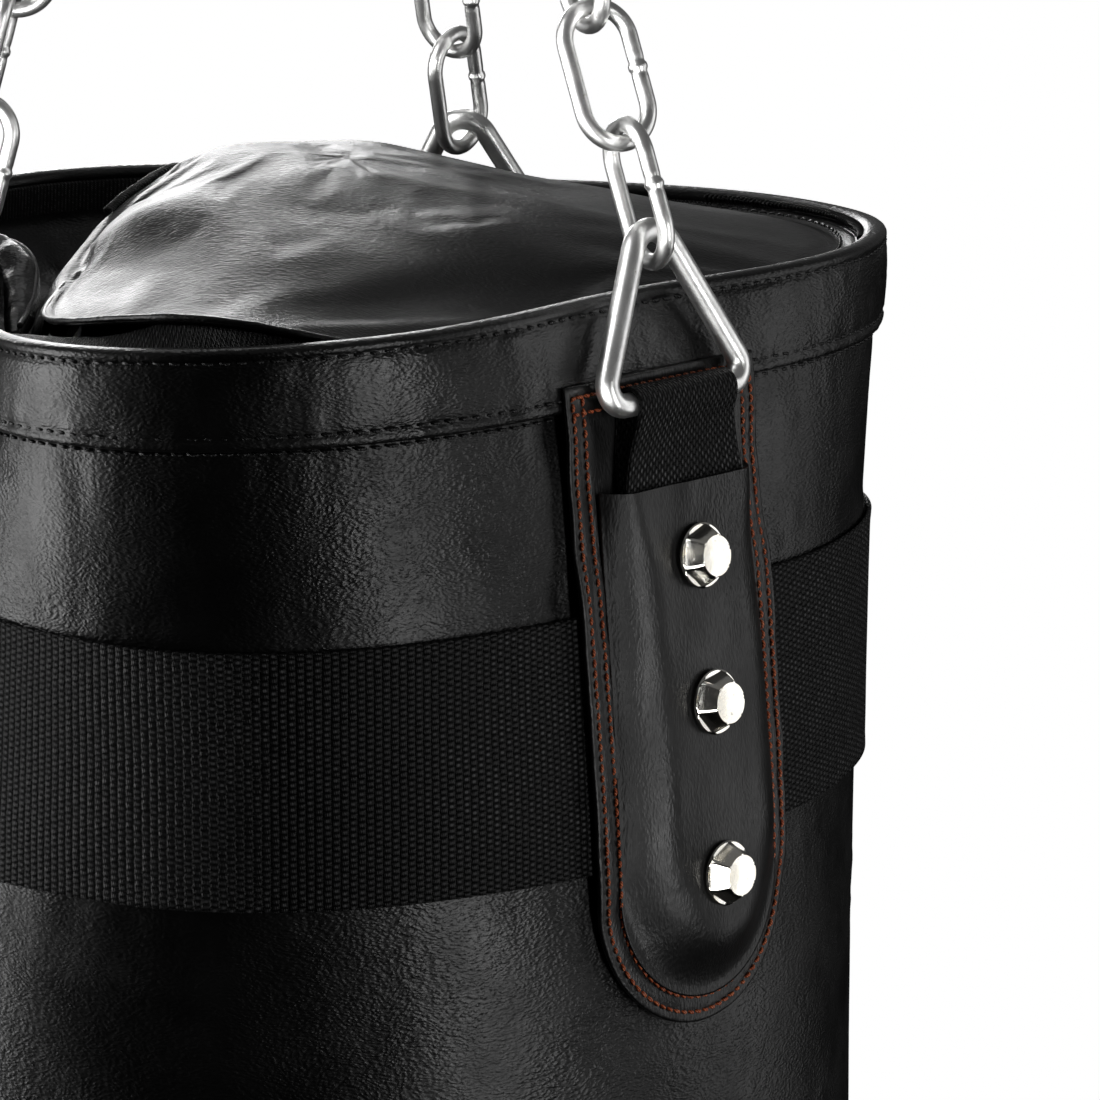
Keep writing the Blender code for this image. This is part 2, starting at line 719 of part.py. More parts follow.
def make_yoke(pin_height, material):
    """An upside-down U over the lug, bored for the pin and for the eye's stem."""
    inner, outer = YOKE_GAP / 2, YOKE_GAP / 2 + YOKE_ARM
    top = pin_height + YOKE_RISE
    foot = pin_height - YOKE_FOOT
    right = [(outer, foot), (outer, top), (outer - YOKE_BEVEL, top + YOKE_CROWN)]
    left = [(-outer + YOKE_BEVEL, top + YOKE_CROWN), (-outer, top), (-outer, foot)]
    outline = right + left + [(-inner, foot), (-inner, top), (inner, top), (inner, foot)]
    across, up = Vector((0, 1, 0)), Vector((0, 0, 1))
    rows = []
    for x in (-YOKE_WIDTH / 2, YOKE_WIDTH / 2):
        rows.append(in_plane(outline, Vector((x, 0, 0)), across, up))
    yoke = lofted_solid("swivel_yoke", rows, material)
    pin = Vector((0, 0, pin_height))
    cut(yoke, make_cutter("cut_yoke_pin", [(pin, across, -15 * MM, 15 * MM, PIN_HOLE_RADIUS)]))
    stem_hole = (pin, up, YOKE_RISE - 3 * MM, YOKE_RISE + 12 * MM, STEM_RADIUS + STEM_PLAY)
    cut(yoke, make_cutter("cut_yoke_stem", [stem_hole]))
    return top


def headed_pin(reach, head_thickness, radius, head_radius):
    """The profile of a pin with a head at each end."""
    shank, head = ngon(12, radius), ngon(12, head_radius)
    low = [(-reach - head_thickness, head), (-reach, head), (-reach, shank)]
    return low + [(-along, outline) for along, outline in reversed(low)]


def make_clevis_pin(pin_height, material):
    """The pin through the yoke and the plate's lug, with a head at each end."""
    reach = YOKE_GAP / 2 + YOKE_ARM + GAP
    profile = headed_pin(reach, 1.6 * MM, PIN_RADIUS, PIN_RADIUS * 1.5)
    turned("clevis_pin", profile, Vector((0, 0, pin_height)), Vector((0, 1, 0)), material)


def make_eye(yoke_top, material):
    """The swivel's upper eye: its stem turns in the yoke and is held by a head below the crown."""
    up = Vector((0, 0, 1))
    stem_top = yoke_top + YOKE_CROWN + 4 * MM
    head_top = yoke_top - GAP
    profile = [
        (head_top - 3 * MM, ngon(16, STEM_RADIUS * 1.12)),
        (head_top, ngon(16, STEM_RADIUS * 1.12)),
        (head_top, ngon(16, STEM_RADIUS)),
        (yoke_top + YOKE_CROWN + GAP, ngon(16, STEM_RADIUS)),
        (yoke_top + YOKE_CROWN + GAP, ngon(16, STEM_RADIUS * 1.6)),
        (stem_top, ngon(16, STEM_RADIUS * 1.6)),
        (stem_top + 2 * MM, ngon(16, STEM_RADIUS * 0.9)),
    ]
    stem = turned("swivel_eye", profile, Vector(), up, material)
    centre = Vector((0, 0, stem_top + EYE_RADIUS))
    path = in_plane(ngon(16, EYE_RADIUS), centre, Vector((0, 1, 0)), up)
    loop = wire("eye_helper", path, Vector((1, 0, 0)), EYE_WIRE, 8, material, closed=True)
    join(stem, loop)
    return centre.z + EYE_RADIUS - EYE_WIRE - GAP - HOOK_WIRE


def make_hook(bottom, material, steel):
    """The snap hook: a long wire loop left open on its +X side, where the gate closes it."""
    side, up = Vector((1, 0, 0)), Vector((0, 0, 1))
    normal = Vector((0, 1, 0))
    half = HOOK_HALF_WIDTH
    foot, nose = half + GATE_FOOT, HOOK_HEIGHT * 0.74
    outline = [(half, foot)]
    for step in range(9):
        angle = -math.pi * step / 8
        outline.append((half * math.cos(angle), half + half * math.sin(angle)))
    for step in range(9):
        angle = math.pi - math.pi * step / 8
        outline.append((half * math.cos(angle), HOOK_HEIGHT - half + half * math.sin(angle)))
    outline.append((half, nose))
    path = in_plane(outline, Vector((0, 0, bottom)), side, up)
    hook = wire("snap_hook", path, normal, HOOK_WIRE, 8, material, closed=False)

    pivot = Vector((half, 0, bottom + foot + KNUCKLE_RISE))
    cheeks = []
    for low, high in ((-HOOK_WIRE, -KNUCKLE_SLOT), (KNUCKLE_SLOT, HOOK_WIRE)):
        cheeks.append((pivot, normal, low, high, KNUCKLE_RADIUS))
    join(hook, make_cutter("knuckle_helper", cheeks))
    hole_radius = GATE_PIN_RADIUS + GATE_PIN_PLAY
    pin_hole = make_cutter("cut_gate_pin", [(pivot, normal, -10 * MM, 10 * MM, hole_radius)])
    cut(hook, pin_hole)

    tongue, body = GATE_TONGUE, GATE_BODY
    length = bottom + nose - GAP - pivot.z
    profile = [
        (-3 * MM, rectangle(1.2 * MM, tongue)),
        (0.0, rectangle(3.2 * MM, tongue)),
        (6 * MM, rectangle(3.2 * MM, tongue)),
        (7.5 * MM, rectangle(body, body)),
        (length - 1 * MM, rectangle(body, body)),
        (length, rectangle(body * 0.8, body * 0.8)),
    ]
    rows = [in_plane(points, pivot + up * along, side, normal) for along, points in profile]
    gate = lofted_solid("gate", rows, steel)
    cut(gate, pin_hole)

    profile = headed_pin(HOOK_WIRE + GAP, MM, GATE_PIN_RADIUS, GATE_PIN_RADIUS * 1.8)
    turned("gate_pin", profile, pivot, normal, steel)


def main():
    for old in list(bpy.data.objects):
        bpy.data.objects.remove(old)

    leather = make_material("leather", (0.012, 0.012, 0.013), 0.32)
    hem = make_material("hem_leather", (0.015, 0.015, 0.016), 0.35)
    webbing = make_material("webbing", (0.012, 0.012, 0.012), 0.85)
    stuffing = make_material("stuffing", (0.25, 0.24, 0.23), 0.95)
    closure = make_material("closure_fabric", (0.01, 0.01, 0.01), 0.9)
    zinc = make_material("zinc_steel", (0.78, 0.78, 0.76), 0.22, 1.0)
    bright = make_material("bright_steel", (0.86, 0.85, 0.80), 0.12, 1.0)

    sleeve = make_sleeve(leather)
    make_collar(hem)
    band = make_band(webbing)
    make_bottom(leather)
    make_closure_tape(closure)
    make_lid(leather)
    filling = make_filling(stuffing)

    for name, degrees in HANGERS.items():
        azimuth = math.radians(degrees)
        frames = [bolt_frame(azimuth, depth) for depth in BOLT_DEPTHS]
        shanks = [(origin, axis, -20 * MM, 20 * MM, BOLT_HOLE_RADIUS) for origin, axis in frames]
        pockets = [(origin, axis, -12 * MM, 12 * MM, NUT_POCKET_RADIUS) for origin, axis in frames]
        holes = make_cutter(f"cut_bolts_{name}", shanks)
        patch = make_patch(name, azimuth, leather)
        pad = make_pad(name, azimuth, leather)
        strap = make_strap(name, azimuth, webbing)
        for layer in (sleeve, band, patch, strap, pad):
            cut(layer, holes)
        cut(filling, make_cutter(f"cut_nuts_{name}", pockets))
        for number, depth in enumerate(BOLT_DEPTHS):
            make_bolt(f"bolt_{name}_{number + 1}", azimuth, depth, bright)
        ring, apex = make_ring(name, azimuth, zinc)
        make_chain(name, azimuth, apex, zinc)

    pin_height = make_plate(zinc)
    yoke_top = make_yoke(pin_height, zinc)
    make_clevis_pin(pin_height, bright)
    hook_bottom = make_eye(yoke_top, zinc)
    make_hook(hook_bottom, zinc, bright)


main()
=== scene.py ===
"""The looks of a hanging punching bag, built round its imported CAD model.

Metres, +Z up, origin at the centre of the flat bottom. Azimuths run from -Y towards +X.
Offsets are distances out from the leather sleeve's outside.
"""

import json
import math

import bpy
import numpy as np
from mathutils import Matrix, Vector

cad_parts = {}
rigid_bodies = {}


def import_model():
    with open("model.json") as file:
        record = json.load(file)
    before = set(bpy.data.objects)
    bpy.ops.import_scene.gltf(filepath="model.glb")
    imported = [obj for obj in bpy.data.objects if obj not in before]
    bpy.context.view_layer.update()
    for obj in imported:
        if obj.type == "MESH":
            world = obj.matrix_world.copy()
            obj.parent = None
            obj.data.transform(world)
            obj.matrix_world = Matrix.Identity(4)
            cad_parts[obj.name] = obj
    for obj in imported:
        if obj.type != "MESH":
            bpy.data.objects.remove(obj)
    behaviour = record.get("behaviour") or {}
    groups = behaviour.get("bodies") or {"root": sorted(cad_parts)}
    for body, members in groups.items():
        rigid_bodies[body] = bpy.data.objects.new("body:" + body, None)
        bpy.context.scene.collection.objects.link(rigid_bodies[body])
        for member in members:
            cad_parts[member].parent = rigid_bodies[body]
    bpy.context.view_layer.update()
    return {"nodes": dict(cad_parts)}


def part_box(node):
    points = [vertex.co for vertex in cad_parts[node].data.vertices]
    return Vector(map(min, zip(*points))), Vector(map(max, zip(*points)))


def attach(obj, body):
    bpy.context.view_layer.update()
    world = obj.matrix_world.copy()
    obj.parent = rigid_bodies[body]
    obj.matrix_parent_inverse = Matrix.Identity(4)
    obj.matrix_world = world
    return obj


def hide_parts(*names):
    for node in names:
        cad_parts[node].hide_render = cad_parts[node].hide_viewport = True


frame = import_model()

MM = 0.001
TAU = math.tau
UP = np.array([0.0, 0.0, 1.0])
NODES = frame["nodes"]

# Sizes that follow the CAD model's, in metres.
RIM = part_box("sleeve")[1][2]
WALL = 2.2 * MM
MEAN_RADIUS = 152 * MM
HANGERS = ("front", "back", "left")
PATCH_TOP, PATCH_BOTTOM = 18 * MM, 191 * MM
PATCH_HALF, PATCH_FLARE = 39 * MM, 3.5 * MM
PAD_TOP, PAD_BOTTOM, PAD_HALF = 46 * MM, 184 * MM, 33 * MM
PATCH_INNER, PATCH_OUTER = 2.5 * MM, 4.1 * MM
STRAP_THICKNESS = 1.4 * MM
BACK_STRAP = PATCH_OUTER + 1.0 * MM
FRONT_STRAP = BACK_STRAP + STRAP_THICKNESS + 1.0 * MM
PAD_INNER = FRONT_STRAP + STRAP_THICKNESS + 1.0 * MM
PAD_OUTER = PAD_INNER + 1.6 * MM
STRAP_BOTTOM = 158 * MM
STRAP_HALF, STRAP_HALF_AT_BAR, STRAP_TAPER = 24.5 * MM, 18.5 * MM, 16 * MM
RING_WIRE = 3.15 * MM
RING_BAR_DEPTH = 24 * MM
RING_HALF, RING_APEX = 29 * MM, 51.5 * MM
RING_LEANS = {"front": 14, "back": 14, "left": 22}
BAR_STANDOFFS = {"front": 0.0, "back": 0.0, "left": 3 * MM}
BAR_OFFSET = BACK_STRAP + STRAP_THICKNESS + 0.4 * MM + RING_WIRE
LINK_WIRE, LINK_HALF_LENGTH, LINK_HALF_WIDTH = 2.25 * MM, 18.25 * MM, 9.5 * MM
LINKS = 8
COLLAR_FOOT = 24.5 * MM
BAND_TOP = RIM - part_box("webbing_band")[1][2]
BAND_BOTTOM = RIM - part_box("webbing_band")[0][2]


# Meshes from arrays.


def new_object(name, mesh, material):
    mesh.materials.append(material)
    made = bpy.data.objects.new(name, mesh)
    bpy.context.scene.collection.objects.link(made)
    return made


def mesh_from(name, points, faces, material, uv=None):
    """A smooth mesh object from an array of points and a list of equal-length face arrays."""
    mesh = bpy.data.meshes.new(name)
    points = np.asarray(points, np.float32).reshape(-1, 3)
    faces = [np.asarray(block, np.int32) for block in faces if len(block)]
    corners = np.concatenate([block.reshape(-1) for block in faces])
    sizes = np.concatenate([np.full(len(block), block.shape[1]) for block in faces])
    starts = np.concatenate([[0], np.cumsum(sizes)[:-1]]).astype(np.int32)
    mesh.vertices.add(len(points))
    mesh.vertices.foreach_set("co", points.reshape(-1))
    mesh.loops.add(len(corners))
    mesh.loops.foreach_set("vertex_index", corners)
    mesh.polygons.add(len(starts))
    mesh.polygons.foreach_set("loop_start", starts)
    mesh.update(calc_edges=True)
    if uv is not None:
        layer = mesh.uv_layers.new(name="UVMap")
        layer.data.foreach_set("uv", np.asarray(uv, np.float32).reshape(-1))
    mesh.polygons.foreach_set("use_smooth", np.ones(len(starts), bool))
    mesh.validate()
    return new_object(name, mesh, material)


def grid_quads(rows, across, wrap_rows, wrap_across):
    """Quads of a grid, and each corner's (row, column) before wrapping."""
    i = np.arange(rows if wrap_rows else rows - 1)
    j = np.arange(across if wrap_across else across - 1)
    i, j = [a.reshape(-1) for a in np.meshgrid(i, j, indexing="ij")]
    at_rows = np.stack([i, i, i + 1, i + 1], axis=1)
    at_across = np.stack([j, j + 1, j + 1, j], axis=1)
    quads = (at_rows % rows) * across + at_across % across
    return quads, at_rows, at_across


def surface(name, grid, material, wrap_rows=False, uv=None, caps=False, flip=False):
    """A grid of points as an object, closed across. uv gives (u per column, v per row), each one longer
    where it wraps. flip turns the faces over, and isn't for a grid with uv.
    """
    rows, across = grid.shape[:2]
    quads, at_rows, at_across = grid_quads(rows, across, wrap_rows, True)
    corner_uv = None
    if uv is not None:
        u, v = uv
        corner_uv = np.stack([np.asarray(u)[at_across], np.asarray(v)[at_rows]], axis=-1)
    faces = [quads]
    if caps:
        first = np.arange(across)[None, :]
        last = first + (rows - 1) * across
        faces += [first[:, ::-1], last]
        if corner_uv is not None:
            corner_uv = np.concatenate([corner_uv.reshape(-1, 2), np.zeros((2 * across, 2))])
    if flip:
        faces = [corners[:, ::-1] for corners in faces]
    return mesh_from(name, grid, faces, material, corner_uv)


def unit(vectors):
    return vectors / np.maximum(np.linalg.norm(vectors, axis=-1, keepdims=True), 1e-12)


def outwards(points):
    """Level unit vectors away from the axis."""
    return unit(points * np.array([1, 1, 0]))


def polar(radius, azimuth, height):
    """Points at these distances from the axis, azimuths and heights."""
    radius, azimuth, height = np.broadcast_arrays(radius, azimuth, height)
    return np.stack([radius * np.sin(azimuth), -radius * np.cos(azimuth), height], axis=-1)


def directions(azimuth):
    """Unit vectors out from the axis and sideways at this azimuth."""
    return polar(1.0, azimuth, 0.0), polar(1.0, azimuth + math.pi / 2, 0.0)


def turn_between(azimuth, other):
    """The signed angle from other to azimuth."""
    return (azimuth - other + math.pi) % TAU - math.pi


def lengths(path):
    """The distance along a path at each of its points."""
    return np.concatenate([[0], np.cumsum(np.linalg.norm(np.diff(path, axis=0), axis=1))])


def along_path(where, along, values):
    """The rows of values at these distances along a path."""
    return np.stack([np.interp(where, along, column) for column in values.T], axis=1)


def spokes(side, other, count):
    """Unit vectors all round each point of a path, from two that are square to it."""
    angle = TAU * np.arange(count) / count
    return np.cos(angle)[:, None] * side[:, None, :] + np.sin(angle)[:, None] * other[:, None, :]


def bell(width):
    """A smoothing kernel over this many cells."""
    kernel = np.hanning(width)
    return kernel / kernel.sum()


def tube_grid(path, radius, sides, closed, normal):
    """Rings of points round a path. normal is a direction that the path never follows."""
    if closed:
        tangent = np.roll(path, -1, axis=0) - np.roll(path, 1, axis=0)
    else:
        tangent = np.gradient(path, axis=0)
    tangent = unit(tangent)
    side = unit(np.cross(np.broadcast_to(normal, tangent.shape), tangent))
    radius = np.broadcast_to(radius, (len(path),))[:, None, None]
    return path[:, None, :] + radius * spokes(side, np.cross(tangent, side), sides)


def rounded_path(corners, radii, spacing):
    """A closed flat outline with rounded corners, evenly spaced."""
    points = []
    corners = [np.array(corner, float) for corner in corners]
    for i, here in enumerate(corners):
        before, after = corners[i - 1], corners[(i + 1) % len(corners)]
        to_last, to_next = unit(before - here), unit(after - here)
        half = math.acos(np.clip(to_last @ to_next, -1, 1)) / 2
        middle = here + unit(to_last + to_next) * radii[i] / math.sin(half)
        start = here + to_last * radii[i] / math.tan(half) - middle
        end = here + to_next * radii[i] / math.tan(half) - middle
        turn = math.atan2(start[0] * end[1] - start[1] * end[0], start @ end)
        square = np.array([-start[1], start[0]])
        for angle in turn * np.linspace(0, 1, 25):
            points.append(middle + math.cos(angle) * start + math.sin(angle) * square)
    return resampled(np.array(points), spacing, closed=True)


def resampled(path, spacing, closed=False):
    """The path with points this far apart, or as near as a whole number of steps allows."""
    if closed:
        path = np.concatenate([path, path[:1]])
    gaps = np.linalg.norm(np.diff(path, axis=0), axis=1)
    path = path[np.concatenate([[True], gaps > 1e-9])]
    along = lengths(path)
    count = max(2, int(round(along[-1] / spacing)))
    where = np.linspace(0, along[-1], count + 1)
    return along_path(where[:-1] if closed else where, along, path)


# The sleeve's shape, read from the CAD model, and a field of folds over it.

COLUMNS = 1440
SLEEVE_SEGMENTS = 48
FIELD_ROWS = int(round(RIM / MM)) + 11


def node_points(name):
    mesh = NODES[name].data
    points = np.empty(len(mesh.vertices) * 3)
    mesh.vertices.foreach_get("co", points)
    return points.reshape(-1, 3)


def read_sleeve():
    """The sleeve's outside radius at each mm of height and each of COLUMNS azimuths."""
    points = node_points("sleeve")
    place_round = np.arctan2(points[:, 0], -points[:, 1]) % TAU / TAU * SLEEVE_SEGMENTS
    radius = np.hypot(points[:, 0], points[:, 1])
    keys = np.round(points[:, 2] / MM, 1)
    index = np.round(place_round).astype(int) % SLEEVE_SEGMENTS
    on_column = np.abs(place_round - np.round(place_round)) < 0.02
    levels, rows = [], []
    for key in np.unique(keys):
        here = (keys == key) & on_column
        if len(set(index[here])) < SLEEVE_SEGMENTS:
            continue
        row = np.zeros(SLEEVE_SEGMENTS)
        np.maximum.at(row, index[here], radius[here])
        levels.append(key)
        rows.append(row)
    # A smooth curve round each level, then straight steps and a light smoothing up the bag.
    spectrum = np.fft.rfft(np.array(rows), axis=1)
    wide = np.zeros((len(rows), COLUMNS // 2 + 1), complex)
    wide[:, : spectrum.shape[1]] = spectrum * COLUMNS / SLEEVE_SEGMENTS
    rows = np.fft.irfft(wide, COLUMNS, axis=1)
    heights = np.arange(FIELD_ROWS)
    table = np.stack([np.interp(heights, levels, column) for column in rows.T], axis=1)
    padded = np.pad(table, ((11, 11), (0, 0)), mode="edge")
    kernel = bell(23)
    return np.apply_along_axis(lambda column: np.convolve(column, kernel, "valid"), 0, padded)


def smooth_noise(seed, across, down):
    """Smooth noise over the sleeve, periodic round it, with features this many mm wide and high."""
    rng = np.random.default_rng(seed)
    white = rng.standard_normal((FIELD_ROWS, COLUMNS))
    mm_per_column = TAU * MEAN_RADIUS / MM / COLUMNS
    ky = np.fft.fftfreq(FIELD_ROWS)[:, None] * down
    kx = np.fft.rfftfreq(COLUMNS)[None, :] * across / mm_per_column
    shaped = np.fft.irfft2(np.fft.rfft2(white) * np.exp(-2.0 * (kx**2 + ky**2)), s=white.shape)
    return shaped / shaped.std()


def step(low, high, value):
    share = np.clip((value - low) / (high - low), 0, 1)
    return share * share * (3 - 2 * share)


SLEEVE_TABLE = read_sleeve()


def lookup(table, azimuth, height):
    """The table's value at these azimuths and heights, in straight steps between its cells."""
    across = np.asarray(azimuth) / TAU * COLUMNS
    up = np.clip(np.asarray(height) / MM, 0, FIELD_ROWS - 1.001)
    across, up = np.broadcast_arrays(across, up)
    c, r = np.floor(across).astype(int), np.floor(up).astype(int)
    fc, fr = across - c, up - r
    c0, c1 = c % COLUMNS, (c + 1) % COLUMNS
    low = table[r, c0] * (1 - fc) + table[r, c1] * fc
    high = table[r + 1, c0] * (1 - fc) + table[r + 1, c1] * fc
    return low * (1 - fr) + high * fr


def radius_at(azimuth, height):
    return lookup(SLEEVE_TABLE, azimuth, height)


def droop(azimuth, height):
    """How far the rim and the leather under it hang down at the front left."""
    away = np.degrees(turn_between(azimuth, math.radians(-48)))
    width = np.where(away < 0, 22, 36)
    return 8 * MM * np.exp(-((away / width) ** 2)) * step(60 * MM, 0, RIM - height)


def at(azimuth, height, offset):
    """Points off the sleeve's outside."""
    return polar(radius_at(azimuth, height) + offset, azimuth, height - droop(azimuth, height))


def azimuth_of(name):
    """The azimuth of a CAD node's middle."""
    low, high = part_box(name)
    return math.atan2(low[0] + high[0], -low[1] - high[1])


HANGER_AZIMUTH = {name: azimuth_of(f"bolt_{name}_2") for name in HANGERS}


def leather_field():
    """How far the leather stands proud or sinks: swells, folds and fine creases, calm under the trims."""
    height = np.arange(FIELD_ROWS)[:, None] * MM
    azimuth = (TAU * np.arange(COLUMNS) / COLUMNS)[None, :]
    depth = RIM - height
    swell = 0.40 * smooth_noise(3, 120, 100) + 0.05 * smooth_noise(4, 42, 34)
    crumple_where = step(0.1, 1.3, smooth_noise(5, 60, 50))
    creases = np.zeros_like(swell)
    for seed, across, down, deep in ((11, 26, 11, 0.16), (12, 17, 7, 0.12), (13, 12, 5, 0.08)):
        creases -= deep * np.exp(-((smooth_noise(seed, across, down) / 0.30) ** 2))
    crumple = 0.10 * smooth_noise(14, 12, 6)
    field = swell + crumple_where * (creases + crumple) + 0.10 * creases
    # Vertical pulls at the hem and at the band's edges, where the seams gather the leather.
    pulls = smooth_noise(16, 7, 30)
    for seam, size, reach in (
        (29 * MM, 0.20, 9 * MM),
        (BAND_TOP, 0.14, 10 * MM),
        (BAND_BOTTOM, 0.14, 10 * MM),
    ):
        field += pulls * size * np.exp(-np.abs(depth - seam) / reach)
    # Long slack folds low on the bag, where the filling has settled.
    slack = step(250 * MM, 420 * MM, depth) * step(10 * MM, 90 * MM, height)
    field += 0.8 * smooth_noise(17, 150, 22) * slack
    # The leather lies calm and a little lower under the band, the hem and the patches.
    under_band = step(-7 * MM, 1 * MM, depth - BAND_TOP) * step(-7 * MM, 1 * MM, BAND_BOTTOM - depth)
    under_collar = 1 - step(COLLAR_FOOT - 3 * MM, COLLAR_FOOT + 3 * MM, depth)
    covered = np.maximum(under_band, under_collar)
    above_end = 1 - step(PATCH_BOTTOM - MM, PATCH_BOTTOM + 8 * MM, depth)
    for name in HANGERS:
        apart = np.abs(turn_between(azimuth, HANGER_AZIMUTH[name])) * MEAN_RADIUS
        beside = 1 - step(PATCH_HALF - 2 * MM, PATCH_HALF + 7 * MM, apart)
        covered = np.maximum(covered, beside * above_end)
    covered = np.maximum(covered, 1 - step(0, 12 * MM, height))
    return (field * (1 - covered) - 0.4 * covered) * MM


LEATHER_FIELD = leather_field()


def on_leather(azimuth, height, offset):
    """Points off the folded leather rather than off the smooth sleeve."""
    return at(azimuth, height, offset + lookup(LEATHER_FIELD, azimuth, height))


# Materials. Every pattern comes from nodes; lengths are in metres of object space or in UV metres.


class Nodes:
    """A short way to write a material's node tree."""

    def __init__(self, name):
        self.material = bpy.data.materials.new(name)
        self.material.use_nodes = True
        self.tree = self.material.node_tree
        self.shader = self.tree.nodes["Principled BSDF"]

    def link(self, value, socket):
        if isinstance(value, bpy.types.NodeSocket):
            self.tree.links.new(value, socket)
        else:
            socket.default_value = value

    def add(self, kind, inputs=None, output=0, **settings):
        node = self.tree.nodes.new(kind)
        for key, value in settings.items():
            setattr(node, key, value)
        for key, value in (inputs or {}).items():
            self.link(value, node.inputs[key])
        return node.outputs[output]

    def place(self, scale=(1, 1, 1)):
        where = self.add("ShaderNodeTexCoord", output=3)
        return self.add("ShaderNodeMapping", {0: where, 3: scale})

    def noise(self, scale, detail=4.0, roughness=0.55, where=None):
        return self.add("ShaderNodeTexNoise", {0: where or self.place(), 2: scale, 3: detail, 4: roughness})

    def swirl(self, where, scale):
        """A noise colour, to bend a pattern with."""
        return self.add("ShaderNodeTexNoise", {0: where, 2: scale, 3: 2.0}, output=1)

    def cells(self, scale, feature="F1", where=None, output=0):
        inputs = {"Vector": where or self.place(), "Scale": scale}
        return self.add("ShaderNodeTexVoronoi", inputs, output, feature=feature)

    def math(self, operation, a, b=None, clamp=False):
        inputs = {0: a} if b is None else {0: a, 1: b}
        return self.add("ShaderNodeMath", inputs, operation=operation, use_clamp=clamp)

    def plus(self, a, b):
        return self.math("ADD", a, b)

    def times(self, a, b):
        return self.math("MULTIPLY", a, b)

    def vector(self, operation, a, b):
        """b is a vector, or the number to scale a by."""
        key = 3 if operation == "SCALE" else 1
        return self.add("ShaderNodeVectorMath", {0: a, key: b}, operation=operation)

    def ramp(self, value, low, high, out_low=0.0, out_high=1.0):
        inputs = {0: value, 1: low, 2: high, 3: out_low, 4: out_high}
        return self.add("ShaderNodeMapRange", inputs, interpolation_type="SMOOTHSTEP")

    def mix(self, share, a, b):
        return self.add("ShaderNodeMix", {0: share, 6: a, 7: b}, 2, data_type="RGBA")

    def bump(self, height, distance, strength=1.0, under=None):
        inputs = {"Height": height, "Distance": distance, "Strength": strength}
        if under is not None:
            inputs["Normal"] = under
        return self.add("ShaderNodeBump", inputs)

    def finish(self, **inputs):
        for key, value in inputs.items():
            self.link(value, self.shader.inputs[key.replace("_", " ")])
        return self.material


def tinted(base, red, green, blue):
    """A colour from one brightness and a share of it for each channel."""
    return (base * red, base * green, base * blue, 1)


def leather(name, base=0.0018, gloss=0.33, grain=1.0, lie=(0.5, 0.5, 1.0)):
    """Glossy black coated leather: flat pebbles parted by short creases, deeper in some places and darkened
    with painted shade, and uneven gloss. lie stretches the grain: it runs long along the axes with small
    numbers.
    """
    n = Nodes(name)
    swirl = n.vector("SUBTRACT", n.swirl(n.place(), 70), (0.5, 0.5, 0.5))
    bent = n.vector("ADD", n.place(), n.vector("SCALE", swirl, 0.0045))
    where = n.add("ShaderNodeMapping", {0: bent, 3: lie})
    patches = n.ramp(n.noise(15, 3, 0.5), 0.34, 0.62)
    depth = n.times(n.plus(n.times(patches, 0.45), 0.55), grain)
    streaks = n.noise(760, 2.0, 0.5, where)
    pebbles = n.cells(1650, "SMOOTH_F1", where)
    small = n.cells(3000, "F1", where)
    normal = n.bump(n.noise(30, 3, 0.5), 0.0016, 0.35)
    for pattern, distance, strength in (
        (streaks, 0.00030, 0.55),
        (pebbles, -0.00034, 0.75),
        (small, -0.00010, 0.45),
    ):
        normal = n.bump(pattern, distance, n.times(depth, strength), normal)
    normal = n.bump(n.noise(2600, 2, 0.6), 0.00003, 0.4 * grain, normal)
    tone = n.ramp(n.noise(18, 5, 0.6), 0.35, 0.7)
    colour = n.mix(tone, tinted(base, 1, 1, 1.04), tinted(base, 1.8, 1.75, 1.7))
    # Painted shade: the creases between the pebbles are painted darker.
    crease = n.times(n.ramp(pebbles, 0.45, 0.75), 0.7)
    colour = n.mix(crease, colour, tinted(base, 0.4, 0.4, 0.4))
    shine = n.ramp(n.noise(40, 4, 0.6), 0.3, 0.75, gloss - 0.04, gloss + 0.08)
    shine = n.plus(shine, n.times(pebbles, 0.10))
    return n.finish(Base_Color=colour, Roughness=shine, Normal=normal, Specular_IOR_Level=0.5)


